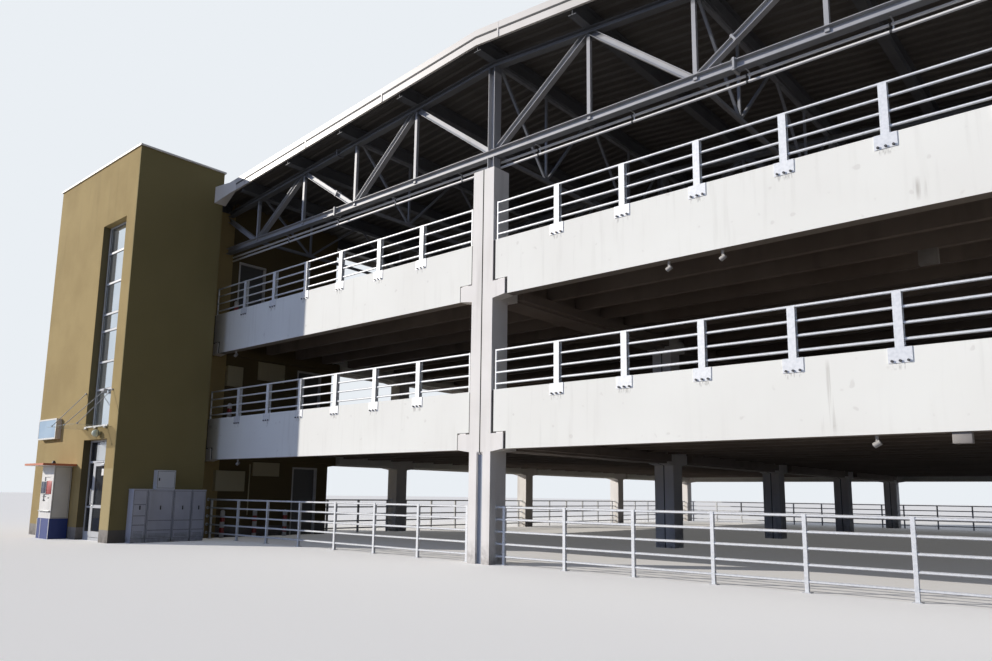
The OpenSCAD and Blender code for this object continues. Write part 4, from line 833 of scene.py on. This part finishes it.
# Each cabinet has its width, where its doors part as shares of its height, and
# its number of louvres.
for width, parts, slits in ((0.41, (0.33, 0.5, 0.71), 5), (0.74, (0.23, 0.41), 3),
                            (0.54, (0.23, 0.41), 3), (0.43, (0.23, 0.41), 3)):
    heights = [foot_h + 0.02, *[cabinet_h * part for part in parts], cabinet_h - lid_h - 0.012]
    for low, high in zip(heights, heights[1:]):
        seams.append(ring("seam", y + margin, y + width - margin, low + 0.004, high - 0.004,
                          0.0, 0.006, 0.002))
    middle = y + width / 2
    locks.append(folded_box("lock", (middle - 0.015, -0.022, 0.89), (middle + 0.015, 0.001, 1.0),
                            0.005, 2))
    # The louvres are dark strips: painted shade, for the slits behind them.
    for k in range(slits):
        low = foot_h + 0.07 + k * louvre_pitch
        louvres.append(folded_box("louvre", (y + 0.08, -0.003, low),
                                  (y + width - 0.08, 0.001, low + 0.006), 0.001))
    y += width
proud = 0.0005
for name, parts in (("cabinet_seams", seams), ("cabinet_locks", locks),
                    ("cabinet_louvres", louvres)):
    piece = face_right(join(name, parts), tx1 + cabinet_d + proud)
    fit(piece, dark_plastic)
meter_d = 0.2
meter = join("meter_box_door", [
    ring("seam", -2.136, -1.636, 1.48, 1.95, 0.0, 0.008, 0.003),
    folded_box("lock", (-2.1, -0.02, 1.68), (-2.07, 0.001, 1.76), 0.004, 2)])
fit(face_right(meter, tx1 + meter_d + proud), dark_plastic)

# The studio: a plain pale floor that takes the shadows, a key light from the
# front left, weak broad fills from front and back, and a pale world. The camera
# stands where the photograph was taken.
bpy.ops.object.select_all(action="DESELECT")
bpy.ops.mesh.primitive_plane_add(size=600, location=(0, 0, 0))
floor = bpy.context.object
floor.name = "studio_floor"
material, tree, shader, place = start_finish("studio_floor", 0.95)
shader.inputs["Base Color"].default_value = linear("#8f8a84")
shader.inputs["Specular IOR Level"].default_value = 0.0


def seen_directly(tree):
    """1 on rays from the camera and on those that a mirror or a pane sends on."""
    rays = add_node(tree, "LightPath").outputs
    seen = rays["Is Camera Ray"]
    for other in ("Is Glossy Ray", "Is Transmission Ray"):
        seen = add_node(tree, "Math", {0: seen, 1: rays[other]}, operation="MAXIMUM").outputs[0]
    return seen


pale = add_node(tree, "BsdfDiffuse", {"Color": linear("#f7f6f4")})
glow = add_node(tree, "Emission", {"Color": linear("#f4f3f1"), "Strength": 0.12})
bright = add_node(tree, "AddShader", {0: pale.outputs[0], 1: glow.outputs[0]})
mix = add_node(tree, "MixShader",
               {0: seen_directly(tree), 1: shader.outputs[0], 2: bright.outputs[0]})
tree.links.new(mix.outputs[0], tree.nodes["Material Output"].inputs["Surface"])
floor.data.materials.append(material)

world = bpy.data.worlds.new("studio")
bpy.context.scene.world = world
world.use_nodes = True
tree = world.node_tree
sky = tree.nodes["Background"]
sky.inputs["Color"].default_value = linear("#bdd0f2")
sky.inputs["Strength"].default_value = 0.21
backdrop = add_node(tree, "Background", {"Color": linear("#eaeff4"), "Strength": 1.0})
mix = add_node(tree, "MixShader",
               {0: seen_directly(tree), 1: sky.outputs[0], 2: backdrop.outputs[0]})
tree.links.new(mix.outputs[0], tree.nodes["World Output"].inputs["Surface"])

for name, strength, spread, colour, way in (
        ("key", 3.95, 0.8, "#fff8ee", (1.325, 1, -0.62)),
        ("fill", 1.0, 60, "#9db3e6", (0.15, 1, -0.2)),
        ("back_fill", 0.6, 50, "#e3eaf6", (-0.12, -1, -0.5))):
    lamp_data = bpy.data.lights.new(name, "SUN")
    lamp_data.energy = strength
    lamp_data.color = linear(colour)[:3]
    lamp_data.angle = math.radians(spread)
    lamp = bpy.data.objects.new(name, lamp_data)
    bpy.context.scene.collection.objects.link(lamp)
    lamp.rotation_euler = Vector(way).to_track_quat("-Z", "Y").to_euler()

yaw, pitch, roll = math.radians(41.104), math.radians(8.798), math.radians(0.765)
forward = Vector((-math.sin(yaw) * math.cos(pitch), math.cos(yaw) * math.cos(pitch),
                  math.sin(pitch)))
level = forward.cross(Vector((0, 0, 1))).normalized()
upright = level.cross(forward)
rightward = math.cos(roll) * level + math.sin(roll) * upright
upward = -math.sin(roll) * level + math.cos(roll) * upright
camera_data = bpy.data.cameras.new("camera")
camera = bpy.data.objects.new("camera", camera_data)
bpy.context.scene.collection.objects.link(camera)
camera.matrix_world = Matrix((rightward, upward, -forward)).transposed().to_4x4()
camera.location = (10.922, -12.351, 1.417)
camera_data.sensor_width = 36
camera_data.lens = 27.965
camera_data.shift_x = 0.0023
camera_data.shift_y = 0.0454
camera_data.clip_end = 500
bpy.context.scene.camera = camera
bpy.context.scene.view_settings.view_transform = "Standard"
